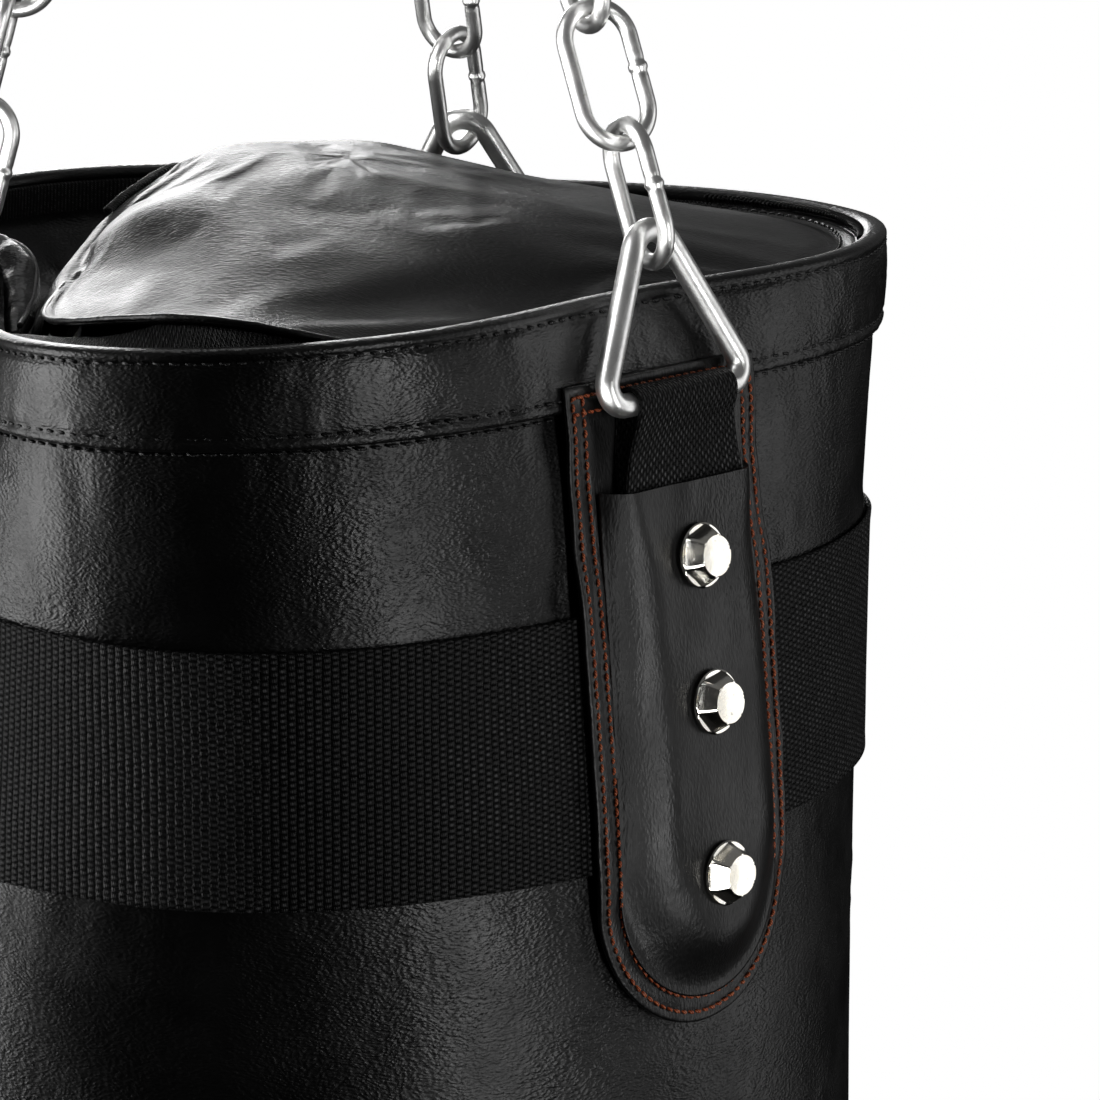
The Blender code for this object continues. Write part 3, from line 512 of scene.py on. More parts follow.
def woven(name, across, down, base, depth=0.00042, slant=0.0):
    """Nylon webbing: ribs of short bumps, each rib half a bump on from the next, with painted glints on the
    bump crests and painted shade in the hollows between them. UV is in metres.
    """
    n = Nodes(name)
    uv = n.add("ShaderNodeTexCoord", output=2)
    uv = n.vector("ADD", uv, n.vector("SCALE", n.swirl(uv, 160), 0.00035))
    along_u, along_v = (n.add("ShaderNodeSeparateXYZ", {0: uv}, k) for k in range(2))
    u = n.math("DIVIDE", along_u, across)
    v = n.math("DIVIDE", n.plus(along_v, n.times(along_u, slant)), down)
    column = n.math("FLOOR", u)
    odd = n.times(n.math("MODULO", n.math("ABSOLUTE", column), 2.0), 0.5)
    shifted = n.plus(v, odd)
    round_u, round_v = (
        n.math("COSINE", n.times(n.math("SUBTRACT", n.math("FRACT", value), 0.5), math.pi))
        for value in (u, shifted)
    )
    bumps = n.math("POWER", n.math("MULTIPLY", round_u, round_v, clamp=True), 0.62)
    strands = n.math("SINE", n.times(n.plus(u, n.times(v, 0.13)), TAU * 4))
    height = n.plus(bumps, n.times(strands, 0.07))
    cell = n.add("ShaderNodeCombineXYZ", {0: column, 1: n.math("FLOOR", shifted)})
    each = n.add("ShaderNodeTexWhiteNoise", {0: cell})
    normal = n.bump(n.noise(120, 3), 0.0007, 0.4)
    normal = n.bump(height, depth, 1.0, normal)
    normal = n.bump(n.noise(2600, 3), 0.00006, 0.5, normal)
    # Painted highlight: the bump crests get painted glints, stronger in some patches and from bump to bump.
    glint_patches = n.ramp(n.noise(28, 4), 0.4, 0.75)
    crest_glint = n.times(n.ramp(bumps, 0.74, 0.97), n.ramp(each, 0.10, 1.0))
    crest_glint = n.times(crest_glint, n.plus(0.5, glint_patches))
    raised = n.mix(crest_glint, tinted(base, 2.2, 2.2, 2.25), tinted(base, 15, 15, 15.3))
    # Painted shade: the hollows between the bumps are painted near black, the rest lighter.
    colour = n.mix(n.ramp(bumps, 0.35, 0.97), tinted(base, 0.06, 0.06, 0.06), raised)
    rough = n.plus(n.times(each, 0.22), 0.42)
    return n.finish(Base_Color=colour, Roughness=rough, Normal=normal, Specular_IOR_Level=0.22)


def thread(name, colour, light):
    """Twisted sewing thread, with painted shade in the grooves of its twist."""
    n = Nodes(name)
    twist = n.add("ShaderNodeTexWave", {0: n.place(), 1: 620.0, 2: 1.2}, bands_direction="DIAGONAL")
    mixed = n.mix(n.ramp(n.noise(900, 3), 0.35, 0.7), (*colour, 1), (*light, 1))
    # Painted shade: the grooves of the twist are painted darker.
    mixed = n.mix(n.ramp(twist, 0.1, 0.7), tinted(0.45, *colour), mixed)
    return n.finish(Base_Color=mixed, Roughness=0.45, Normal=n.bump(twist, 0.0002, 0.6))


def metal(name, colour, tint, rough, dents):
    """Plated steel with fine brushing, small dents and duller spots."""
    n = Nodes(name)
    dull = n.noise(140, 6, 0.65)
    spots = n.ramp(n.noise(620, 4, 0.6), 0.62, 0.78)
    scratches = n.noise(300, 6, 0.7, n.place((1, 1, 9)))
    normal = n.bump(n.noise(260, 3, 0.5), 0.0005, 0.35 * dents)
    normal = n.bump(scratches, 0.00012, 0.35 * dents, normal)
    tone = n.mix(n.ramp(dull, 0.35, 0.7), (*colour, 1), (*tint, 1))
    tone = n.mix(spots, tone, (colour[0] * 0.55, colour[1] * 0.53, colour[2] * 0.5, 1))
    shine = n.plus(n.ramp(dull, 0.3, 0.75, rough, rough + 0.12), n.times(spots, 0.18))
    return n.finish(Base_Color=tone, Metallic=1.0, Roughness=shine, Normal=normal)


LEATHER = leather("black_leather")
LID_LEATHER = leather("lid_leather", base=0.0035, gloss=0.36, grain=0.75, lie=(0.35, 0.9, 1.0))
PATCH_LEATHER = leather("patch_leather", base=0.0035, gloss=0.34, grain=0.55, lie=(1.0, 1.0, 0.4))
HEM_LEATHER = leather("hem_leather", base=0.0022, gloss=0.31, grain=0.8)
BAND_RIB = 2.15 * MM
BAND_WEBBING = woven("band_webbing", BAND_RIB, 1.6 * MM, base=0.0055)
STRAP_WEBBING = woven("strap_webbing", 1.3 * MM, 2.3 * MM, base=0.009, depth=0.0005)
TWILL = woven("closure_twill", 1.3 * MM, 0.6 * MM, base=0.013, slant=0.9, depth=0.0004)
BLACK_THREAD = thread("black_thread", (0.003, 0.003, 0.003), (0.012, 0.012, 0.013))
RED_THREAD = thread("rust_thread", (0.48, 0.090, 0.028), (0.80, 0.24, 0.09))
COIL = thread("zip_nylon", (0.012, 0.012, 0.012), (0.030, 0.030, 0.030))
PIPING = leather("piping_leather", base=0.06, gloss=0.36, grain=0.3)
ZINC = metal("zinc_plate", (0.86, 0.86, 0.85), (0.6708, 0.6708, 0.663), rough=0.30, dents=0.5)
BRIGHT = metal("bright_plate", (0.90, 0.885, 0.84), (0.82, 0.78, 0.68), rough=0.08, dents=0.35)


# Pieces.


def place(piece, body, slot, *stands_for):
    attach(piece, body)
    if stands_for:
        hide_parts(*stands_for)


def stitch_row(name, path, normals, pitch, length, radius, material, slot, closed=False):
    """A row of separate stitches along a path: each one arches up and dives in at both ends."""
    if closed:
        path = np.concatenate([path, path[:1]])
        normals = np.concatenate([normals, normals[:1]])
    along = lengths(path)
    count = max(1, int(round(along[-1] / pitch)))
    pitch = along[-1] / count
    sides, rings = 8, 9
    rng = np.random.default_rng(len(name) * 7 + count)
    share = np.linspace(0, 1, rings)
    arch = np.sin(math.pi * share)
    lift = radius * (1.35 * arch**0.6 - 0.9)
    thick = radius * (0.35 + 0.65 * arch**0.45)
    stitches = []
    for i in range(count):
        reach = length * (1 + 0.08 * rng.standard_normal())
        where = (i + 0.5) * pitch + (share - 0.5) * reach
        points = along_path(where, along, path)
        up = unit(along_path(where, along, normals))
        side = np.cross(unit(np.gradient(points, axis=0)), up)
        centre = points + up * lift[:, None] + side * (0.7 * radius * (share - 0.5))[:, None]
        stitches.append(centre[:, None, :] + thick[:, None, None] * spokes(side, up, sides))
    quads, _, _ = grid_quads(rings, sides, False, True)
    start = np.arange(count)[:, None] * rings * sides
    walls = (start[:, :, None] + quads).reshape(-1, 4)
    first = start + np.arange(sides)
    ends = np.concatenate([first[:, ::-1], first + (rings - 1) * sides])
    place(mesh_from(name, np.array(stitches), [walls, ends], material), "bag", slot)


def around(step_mm):
    """Azimuths all round the sleeve, this many mm apart."""
    count = int(round(TAU * MEAN_RADIUS / (step_mm * MM)))
    return TAU * np.arange(count) / count


def make_sleeve():
    """The leather tube: folded outside, plain inside."""
    azimuth = around(1.9)
    foot = 3.4 * MM
    # Rows close together above, where the trims press the leather, and at the lower end.
    depths = np.concatenate([np.arange(0, 290, 2.0), np.arange(290, 900, 6.5), np.arange(900, 997, 4.0)]) * MM
    heights = np.concatenate([[foot], (RIM - depths)[::-1]])
    heights = heights[heights >= foot]
    outer = on_leather(azimuth[None, :], heights[:, None], 0.0)
    near_rim = heights[heights > 0.94][::-1][::3]
    inner_heights = np.concatenate([near_rim, np.linspace(0.93, foot, 14)])
    inner = at(azimuth[None, :], inner_heights[:, None], -WALL)
    grid = np.concatenate([outer, inner])
    place(surface("leather_sleeve", grid, LEATHER, wrap_rows=True), "bag", "leather", "sleeve")


# (offset, height from the rim) in mm round the hem's section, from its outer foot over the rim and back.
HEM_SECTION = (
    (0.5, -24.6), (1.5, -24.9), (2.2, -24.3), (2.45, -23.4), (2.4, -22.6), (2.0, -21.9), (1.95, -21.2),
    (2.35, -20.2), (2.6, -18), (2.8, -15), (2.85, -12), (2.8, -9), (2.7, -6.5), (2.55, -4.4), (2.3, -3.0),
    (1.9, -2.1), (1.75, -1.6), (1.85, -1.1), (2.15, -0.7), (2.3, -0.2), (2.25, 0.4), (1.9, 1.0), (1.3, 1.45),
    (0.4, 1.7), (-1.2, 1.75), (-2.6, 1.6), (-3.8, 1.1), (-4.5, 0.2), (-4.7, -0.9), (-4.5, -1.9), (-4.1, -2.6),
    (-4.2, -4), (-4.4, -6), (-4.3, -8), (-3.9, -9.2), (-3.0, -9.4), (-2.7, -8.4), (-2.7, -1.0), (-2.5, 0.1),
    (0.2, 0.15), (0.5, -1.2),
)


def make_collar():
    """The hem folded over the rim: a rolled edge, a stitched groove under it, and a gathered foot."""
    section = np.array(HEM_SECTION) * MM + np.array([0, RIM])
    dense = []
    for here, after in zip(section, np.roll(section, -1, axis=0)):
        parts = max(1, int(np.ceil(np.linalg.norm(after - here) / (1.3 * MM))))
        dense += [here + (after - here) * k / parts for k in range(parts)]
    offset, height = np.array(dense).T[:, :, None]
    azimuth = around(1.25)[None, :]
    gathers = smooth_noise(31, 6.5, 16)
    creases = -np.exp(-((smooth_noise(32, 18, 7) / 0.3) ** 2))
    swell = smooth_noise(33, 60, 26)
    outside = step(1.0 * MM, 2.0 * MM, offset) * (height < RIM - 2.5 * MM)
    near_foot = np.exp(-np.abs(RIM - height - 21 * MM) / (5 * MM))
    near_top = np.exp(-np.abs(RIM - height - 2.4 * MM) / (4 * MM))
    ripple = (0.22 * near_foot + 0.12 * near_top) * lookup(gathers, azimuth, height)
    ripple = ripple + 0.10 * lookup(creases, azimuth, height) + 0.30 * lookup(swell, azimuth, height)
    grid = at(azimuth, height, offset)
    grid = grid + outwards(grid) * (ripple * outside * MM)[..., None]
    place(surface("rim_hem", grid, HEM_LEATHER, wrap_rows=True), "bag", "hem_leather", "collar")


def make_hem_stitches():
    azimuth = around(2.0)
    normals = polar(1.0, azimuth, 0.0)
    for name, depth, offset, wobble in (
        ("hem_stitch_top", 1.7 * MM, 1.8 * MM, 0.1 * MM),
        ("hem_stitch_upper", 21.4 * MM, 2.0 * MM, 0.18 * MM),
        ("hem_stitch_lower", 26.0 * MM, 0.2 * MM, 0.2 * MM),
    ):
        rng = np.random.default_rng(len(name))
        waves = np.zeros_like(azimuth)
        for times_round in (2, 3, 5, 9, 17, 31):
            size = rng.standard_normal()
            waves += size * np.cos(times_round * azimuth + rng.uniform(0, TAU)) / 2.4
        points = at(azimuth, RIM - depth + wobble * waves, offset)
        pitch, length, radius = 4.2 * MM, 3.3 * MM, 0.48 * MM
        stitch_row(name, points, normals, pitch, length, radius, BLACK_THREAD, "hem_leather", closed=True)


def make_band():
    """Wide woven webbing sewn round the bag, with thick selvedges."""
    low, high = RIM - BAND_BOTTOM, RIM - BAND_TOP
    inside, edge, outside = 0.2 * MM, 0.9 * MM, 1.55 * MM
    azimuth = around(1.6)
    drift = 0.35 * MM * lookup(smooth_noise(41, 60, 300), azimuth, 0.5)
    body = smooth_noise(42, 45, 30)
    shares = np.linspace(0, 1, 44)
    heights = low + (high - low) * shares
    selvedges = 0.22 * MM * (np.exp(-((shares / 0.035) ** 2)) + np.exp(-(((1 - shares) / 0.035) ** 2)))
    rows = []
    for height, bulge in zip(heights, selvedges):
        swell = 0.25 * MM * lookup(body, azimuth, height)
        rows.append(at(azimuth, height + drift, outside + bulge + swell))
    for height, offset in (
        (high + 0.35 * MM, edge),
        (high - 0.4 * MM, inside),
        ((low + high) / 2, inside),
        (low + 0.4 * MM, inside),
        (low - 0.35 * MM, edge),
    ):
        rows.append(at(azimuth, height + drift, offset))
    # The weave is stretched a little, so that a whole number of rib pairs goes round.
    pairs = round(TAU * MEAN_RADIUS / (2 * BAND_RIB))
    u = np.append(azimuth, TAU) / TAU * pairs * 2 * BAND_RIB
    back_v = np.array([high + 1.2 * MM, high + 2 * MM, high + 34 * MM, low - 2 * MM, low - 1.2 * MM, low])
    v = np.concatenate([heights, back_v])
    piece = surface("webbing_belt", np.array(rows), BAND_WEBBING, wrap_rows=True, uv=(u, v))
    place(piece, "bag", "webbing", "webbing_band")


def make_bottom():
    """The bag's flat base: a leather disc with a raised sewn edge."""
    low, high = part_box("bottom_panel")
    radius = (high[0] - low[0]) / 2
    azimuth = around(3.0)
    # (share of the radius, height in mm) from the middle of the underside round to the top.
    section = (
        (0.05, 0.0), (0.3, 0.0), (0.6, 0.0), (0.85, 0.0), (0.95, 0.0), (0.985, 0.3),
        (1.0, 1.2), (1.0, 2.2), (0.99, 2.9), (0.9, 3.0), (0.5, 3.0), (0.05, 3.0),
    )
    rows = [polar(radius * share, azimuth, height * MM) for share, height in section]
    piece = surface("base_panel", np.array(rows), LEATHER, caps=True, flip=True)
    place(piece, "bag", "leather", "bottom_panel")


# The tongue shape shared by the hanger's patch and pad: rings inset from its outline.

# How many points go up a side, across the top and round the lower end.
TONGUE_STEPS = (70, 34, 54)
STITCH_STEPS = (120, 60, 90)
STITCH_INSET, INNER_STITCH_INSET = 3.0 * MM, 7.2 * MM
# (inset, height over the patch's inner face) in mm, from the middle of its underside to the middle of
# its top.
PATCH_SECTION = (
    (36, 0.1), (20, 0.1), (8, 0.1), (2, 0.1), (0.5, 0.15), (0.1, 0.5), (0.0, 1.0), (0.15, 1.45), (0.5, 1.72),
    (1.0, 1.8), (1.8, 1.78), (2.5, 1.62), (3.0, 1.5), (3.6, 1.62), (4.6, 1.75), (5.6, 1.7), (6.6, 1.55),
    (7.2, 1.45), (7.8, 1.6), (8.6, 1.7), (10, 1.7), (13, 1.7), (17, 1.7), (22, 1.7), (28, 1.7), (36, 1.7),
)


def tongue_ring(top, bottom, half, flare, inset, steps=TONGUE_STEPS):
    """(sideways, height) points round a tongue inset by this much, in the same order for every inset."""
    centre = RIM - bottom + half
    high = RIM - top - inset
    half_in = max(half - inset, 0.15 * MM)
    up = np.linspace(0, 1, steps[0])
    right = np.stack([half_in + flare * up, centre + (high - centre) * up], axis=1)
    left = right[::-1] * np.array([-1, 1])
    across = np.linspace(1, -1, steps[1])[1:-1]
    over = np.stack([across * (half_in + flare), np.full_like(across, high)], axis=1)
    angle = np.linspace(math.pi, TAU, steps[2])[1:-1]
    under = np.stack([half_in * np.cos(angle), centre + half_in * np.sin(angle)], axis=1)
    return np.concatenate([right, over, left, under])


def on_hanger(azimuth, flat, offset):
    """Places (sideways, height) points on the sleeve at a hanger."""
    return at(azimuth + flat[..., 0] / MEAN_RADIUS, flat[..., 1], offset)


def make_patch(name):
    """The hanger's leather tongue, sewn down along two grooves."""
    azimuth = HANGER_AZIMUTH[name]
    seed = 60 + HANGERS.index(name)
    waves = smooth_noise(seed, 26, 30)
    puckers = smooth_noise(seed + 10, 7, 7)
    rows = []
    for inset, height in PATCH_SECTION:
        flat = tongue_ring(PATCH_TOP, PATCH_BOTTOM, PATCH_HALF, PATCH_FLARE, inset * MM)
        offset = PATCH_INNER + height * MM - patch_sink(flat, inset * MM)
        if height > 1.2:
            turned = azimuth + flat[:, 0] / MEAN_RADIUS
            uneven = 0.16 * lookup(waves, turned, flat[:, 1]) + 0.10 * lookup(puckers, turned, flat[:, 1])
            offset = offset + uneven * MM
        rows.append(on_hanger(azimuth, flat, offset))
    piece = surface(f"hanger_patch_{name}", np.array(rows), PATCH_LEATHER, caps=True)
    place(piece, "bag", "leather", f"patch_{name}")


def patch_sink(flat, inset):
    """How far the patch's border sinks where it crosses neither the hem nor the band."""
    depth = RIM - flat[:, 1]
    over_band = step(BAND_TOP - 18 * MM, BAND_TOP - 2 * MM, depth)
    over_band = over_band * (1 - step(BAND_BOTTOM + MM, BAND_BOTTOM + 18 * MM, depth))
    below_hem = step(29 * MM, 44 * MM, depth)
    return 1.5 * MM * below_hem * (1 - over_band) * math.exp(-((inset / (11 * MM)) ** 2))


def stitch_ring(inset):
    return tongue_ring(PATCH_TOP, PATCH_BOTTOM, PATCH_HALF, PATCH_FLARE, inset, STITCH_STEPS)


def patch_path(kind):
    """A patch's stitch line, and whether it closes: outer all round, inner open at the top, or cross."""
    if kind == "outer":
        return stitch_ring(STITCH_INSET), True
    if kind == "inner":
        ring = stitch_ring(INNER_STITCH_INSET)
        side, over = STITCH_STEPS[0], STITCH_STEPS[1] - 2
        right, left, under = ring[:side], ring[side + over : 2 * side + over], ring[2 * side + over :]
        top = RIM - PATCH_TOP - STITCH_INSET
        return np.concatenate([[[left[0, 0], top]], left, under, right, [[right[-1, 0], top]]]), False
    half = PATCH_HALF + PATCH_FLARE - STITCH_INSET
    across = np.linspace(-half, half, 60)
    return np.stack([across, np.full_like(across, RIM - PATCH_TOP - INNER_STITCH_INSET)], axis=1), False


def make_patch_stitches(name):
    azimuth = HANGER_AZIMUTH[name]
    pitch, length, radius = 2.75 * MM, 2.4 * MM, 0.47 * MM
    for kind, inset in (("outer", STITCH_INSET), ("inner", INNER_STITCH_INSET), ("cross", STITCH_INSET)):
        flat, closed = patch_path(kind)
        flat = resampled(flat, 1.5 * MM, closed)
        points = on_hanger(azimuth, flat, PATCH_INNER + 1.72 * MM - patch_sink(flat, inset))
        normals = polar(1.0, azimuth + flat[:, 0] / MEAN_RADIUS, 0.0)
        row_name = f"stitch_{kind}_{name}"
        stitch_row(row_name, points, normals, pitch, length, radius, RED_THREAD, "leather", closed)


def make_pad(name):
    """The raised leather facing: it climbs in a soft shoulder from the patch up over the strap."""
    azimuth = HANGER_AZIMUTH[name]
    seed = 80 + HANGERS.index(name)
    waves = smooth_noise(seed, 20, 34)
    rolls = smooth_noise(seed + 10, 8, 12)
    base = PATCH_OUTER - 0.1 * MM
    half, bottom = PAD_HALF - 0.8 * MM, PAD_BOTTOM - 0.5 * MM
    top_edge, centre = RIM - PAD_TOP, RIM - PAD_BOTTOM + PAD_HALF
    under = [(inset, False) for inset in (30, 12, 6, 1, 0.2)]
    over = [(inset, True) for inset in (0, 0.6, 1.4, 2.4, 3.6, 5, 6.6, 8.4, 10.4, 12.6, 15, 18, 21, 25, 30)]
    rows = []
    for inset, upper in under + over:
        inset *= MM
        flat = tongue_ring(PAD_TOP, bottom, half, 0.0, inset)
        straight = flat[:, 1] > centre
        if upper:
            # The upper edge stays at its height, over the strap.
            flat[:, 1] += inset * (1 - step(0.0, 24 * MM, top_edge - flat[:, 1])) * straight
        flat[:, 1] = np.minimum(flat[:, 1], top_edge)
        from_side = np.where(straight, half - np.abs(flat[:, 0]), inset)
        shoulder_width = 11 * MM + 8 * MM * step(0, 26 * MM, top_edge - flat[:, 1])
        raised = 1 - (1 - np.clip(from_side / shoulder_width, 0, 1)) ** 2.2
        # The lower end fades into the patch.
        low_end = step(centre + 14 * MM, centre - 12 * MM, flat[:, 1])
        raised = raised * (1 - low_end) + low_end * step(0, 21 * MM, from_side)
        if upper:
            turned = azimuth + flat[:, 0] / MEAN_RADIUS
            wave = 0.26 * lookup(waves, turned, flat[:, 1]) + 0.08 * lookup(rolls, turned, flat[:, 1])
            crease = np.exp(-(((from_side - 0.8 * shoulder_width) / (3.5 * MM)) ** 2))
            crease = crease * (flat[:, 0] < 0) * straight
            offset = base + np.maximum(raised * (PAD_OUTER - base), 0.3 * MM)
            offset = offset + raised * wave * MM + 0.25 * MM * crease
        else:
            offset = base + np.where(straight, raised * (PAD_INNER - base), 0)
        rows.append(on_hanger(azimuth, flat, offset))
    piece = surface(f"hanger_pad_{name}", np.array(rows), PATCH_LEATHER, caps=True)
    place(piece, "bag", "leather", f"pad_{name}")


def bar_centre(name):
    azimuth = HANGER_AZIMUTH[name]
    return at(azimuth, RIM - RING_BAR_DEPTH, BAR_OFFSET + BAR_STANDOFFS[name])


def make_strap(name):
    """The webbing loop round the ring's bar."""
    azimuth = HANGER_AZIMUTH[name]
    out, side = directions(azimuth)
    bar = bar_centre(name)
    bar_height = RIM - RING_BAR_DEPTH
    pad_top = RIM - PAD_TOP
    half = STRAP_THICKNESS / 2
    arc = RING_WIRE + 0.35 * MM + half
    line = [(FRONT_STRAP + half, RIM - STRAP_BOTTOM), (FRONT_STRAP + half, pad_top - 2 * MM)]
    for angle in np.radians(np.linspace(-25, 180, 42)):
        line.append((BAR_OFFSET + arc * math.cos(angle), bar_height + arc * math.sin(angle)))
    line += [(BACK_STRAP + half, pad_top - 2 * MM), (BACK_STRAP + half, RIM - STRAP_BOTTOM)]
    rough = resampled(np.array(line), 1.0 * MM)
    path = rough.copy()
    for k in range(2):
        path[2:-2, k] = np.convolve(rough[:, k], np.ones(5) / 5, "valid")
    tangent = unit(np.gradient(path, axis=0))
    normal = np.stack([tangent[:, 1], -tangent[:, 0]], axis=1)
    sag = smooth_noise(95 + HANGERS.index(name), 12, 14)

    def layer(shift, shares):
        """Rows of points across the webbing: rolled round the sleeve below, and flat by the bar."""
        rows = []
        for offset, height in path + normal * shift:
            flat = min(1.0, max(0.0, (height - pad_top) / STRAP_TAPER))
            tucked = step(3 * MM, 16 * MM, pad_top - height) * 8 * MM
            sideways = shares * (STRAP_HALF - tucked + flat * (STRAP_HALF_AT_BAR - STRAP_HALF))
            turned = azimuth + sideways / MEAN_RADIUS
            rolled = at(turned, height, offset + lookup(sag, turned, height) * 0.12 * MM)
            straight = bar + out * (offset - BAR_OFFSET) + UP * (height - bar_height)
            straight = straight + side * sideways[:, None]
            rows.append(rolled * (1 - flat) + straight * flat)
        return np.array(rows)

    shares = np.linspace(-1, 1, 33)
    right, left = (layer(0.0, np.array([share])) for share in (1.02, -1.02))
    grid = np.concatenate([layer(half, shares), right, layer(-half, shares[::-1]), left], axis=1)
    across = np.concatenate([shares, [1.03], shares[::-1], [-1.03, -1.0]]) * STRAP_HALF
    uv = (across, lengths(path))
    piece = surface(f"strap_webbing_{name}", grid, STRAP_WEBBING, uv=uv, caps=True)
    place(piece, "bag", "webbing", f"strap_{name}")


# Metal.


def hexagon_radius(angle, corner):
    """The radius of a hexagon with slightly rounded corners."""
    sector = (angle + math.pi / 6) % (math.pi / 3) - math.pi / 6
    return np.minimum(corner * math.cos(math.pi / 6) / np.cos(sector), corner * 0.985)


def make_bolt(name, number):
    """A flanged hexagon bolt with a chamfered, slightly dished head, and its nut inside the bag."""
    node = f"bolt_{name}_{number}"
    points = node_points(node)
    out, _ = directions(HANGER_AZIMUTH[name])
    middle = points.mean(axis=0)
    _, _, axes = np.linalg.svd(points - middle, full_matrices=False)
    axis = axes[np.argmax(np.abs(axes @ out))]
    axis = axis * np.sign(axis @ out)
    along = points @ axis
    tip, tail = along.max(), along.min()
    on_axis = middle - axis * (middle @ axis)
    side = unit(np.cross(axis, UP))
    up = np.cross(side, axis)
    rng = np.random.default_rng(200 + 10 * HANGERS.index(name) + number)
    turn = rng.uniform(0, math.pi / 3)
    if name == "front":
        turn = math.radians((12, 20, 4)[number - 1])
    angle = TAU * np.arange(144) / 144
    spoke = np.cos(angle + turn)[:, None] * side + np.sin(angle + turn)[:, None] * up
    rows = []

    def ring(level, radius):
        radius = np.broadcast_to(radius, angle.shape)
        rows.append(on_axis + axis * level + spoke * radius[:, None])

    def hexed(level, corner, cone):
        """A hexagonal ring, cut off by a cone of this radius."""
        ring(level, np.minimum(hexagon_radius(angle, corner), cone))

    nut_face, base = tail + 4 * MM, tip - 5.8 * MM
    ring(tail, 3.3 * MM)
    for level, cone in ((tail, 5.9), (tail + 0.6 * MM, 9), (nut_face - 0.5 * MM, 9), (nut_face, 5.9)):
        hexed(level, 6.5 * MM, cone * MM)
    ring(nut_face, 3.0 * MM)
    for rise, radius in ((0, 3.0), (0, 7.6), (0.1, 8.3), (0.35, 8.6), (0.7, 8.6), (0.95, 8.3)):
        ring(base + rise * MM, radius * MM)
    for share in np.linspace(0, 1, 12):
        level = base + 1.05 * MM + share * (tip - base - 1.35 * MM)
        corner = 8.5 - share * 2.2 - share**3 * 0.5
        hexed(level, corner * MM, (8.15 - share * 1.5 - share**2) * MM)
    ring(tip - 0.22 * MM, 5.35 * MM)
    for radius in (4.9, 4.1, 3.1, 2.0, 0.6):
        ring(tip - radius**2 * 0.008 * MM, radius * MM)
    piece = surface(f"flange_bolt_{name}_{number}", np.array(rows), BRIGHT, caps=True)
    piece.data.set_sharp_from_angle(angle=math.radians(28))
    place(piece, "bag", "bright_steel", node)


def make_ring(name):
    """The triangular ring through the strap, leaning in towards its chain."""
    out, side = directions(HANGER_AZIMUTH[name])
    lean = math.radians(RING_LEANS[name])
    up = UP * math.cos(lean) - out * math.sin(lean)
    corners = [(-RING_HALF, 0), (RING_HALF, 0), (0, RING_APEX)]
    flat = rounded_path(corners, [5 * MM, 5 * MM, 8 * MM], 0.7 * MM)
    path = bar_centre(name) + flat[:, :1] * side + flat[:, 1:] * up
    rng = np.random.default_rng(300 + HANGERS.index(name))
    dents = rng.standard_normal(len(path))
    dents = np.convolve(np.concatenate([dents[-6:], dents, dents[:6]]), np.hanning(13) / 6, "valid")
    grid = tube_grid(path, RING_WIRE * (1 + 0.008 * dents), 28, True, np.cross(side, up))
    piece = surface(f"steel_ring_{name}", grid, ZINC, wrap_rows=True, flip=True)
    place(piece, f"ring_{name}", "zinc_steel", f"ring_{name}")


def make_link(node, number):
    """A welded chain link on its CAD node's place: the weld stands proud at the middle of one side."""
    points = node_points(node)
    middle = points.mean(axis=0)
    _, vectors = np.linalg.eigh(np.cov((points - middle).T))
    along, across = vectors[:, 2], vectors[:, 1]
    if along[2] < 0:
        along = -along
    half, end = LINK_HALF_WIDTH, LINK_HALF_LENGTH
    corners = [(-half, -end), (half, -end), (half, end), (-half, end)]
    flat = rounded_path(corners, [half * 0.999] * 4, 0.62 * MM)
    path = middle + flat[:, :1] * across + flat[:, 1:] * along
    rng = np.random.default_rng(400 + number)
    weld_side = 1 if rng.random() < 0.5 else -1
    near = np.where(flat[:, 0] * weld_side > 0.9 * half, np.abs(flat[:, 1] - 0.4 * MM), 1.0)
    weld = 0.17 * np.exp(-((near / (0.9 * MM)) ** 4))
    dip = 0.05 * np.exp(-(((near - 1.6 * MM) / (0.7 * MM)) ** 2))
    grid = tube_grid(path, LINK_WIRE * (1 + weld - dip), 20, True, np.cross(across, along))
    piece = surface(f"chain_{node}", grid, ZINC, wrap_rows=True, flip=True)
    place(piece, "bag", "zinc_steel", node)


# The lid and what shows round its edge.

LID_CLEARANCE = 5.3 * MM
EDGE_BLEND = 5 * MM
# Azimuth in degrees; then in mm the lid edge's distance from the axis where the wall doesn't hold it
# nearer, how far it stays off the wall, and its height from the rim.
LID_EDGE = (
    (-180, 118, 14, -4), (-165, 100, 14, 2), (-150, 76, 14, 11), (-135, 57, 12, 15),
    (-118, 53, 12, 12.5), (-100, 54, 12, 9), (-84, 58, 11, 5), (-70, 65, 10, 2),
    (-52, 81, 9, -2.5), (-42, 99, 9, -4.0), (-34, 119, 9, -4.0), (-26, 129, 8, -0.8),
    (-18, 136, 7, 2.8), (-9, 150, 5, 6.0), (-2, 165, 3, 4.4), (4, 170, 2, 0.4),
    (12, 170, 1, -4.0), (22, 170, 0.5, -5), (47, 170, 0, -6), (80, 170, 0, -4),
    (109, 170, 0, -2), (140, 170, 0, -3), (162, 150, 6, -5),
)
# Sideways, backwards and up from the rim's middle, in mm: where the filling pushes the cover up.
LID_SHAPE = (
    (-20, 34, 21.8), (20, 34, 19.6), (60, 30, 14.2), (92, 28, 8.8), (-42, 28, 17.0),
    (-12, -38, 17.5), (48, -45, 11.5), (-48, -40, 13.5), (20, 90, 9.0),
)


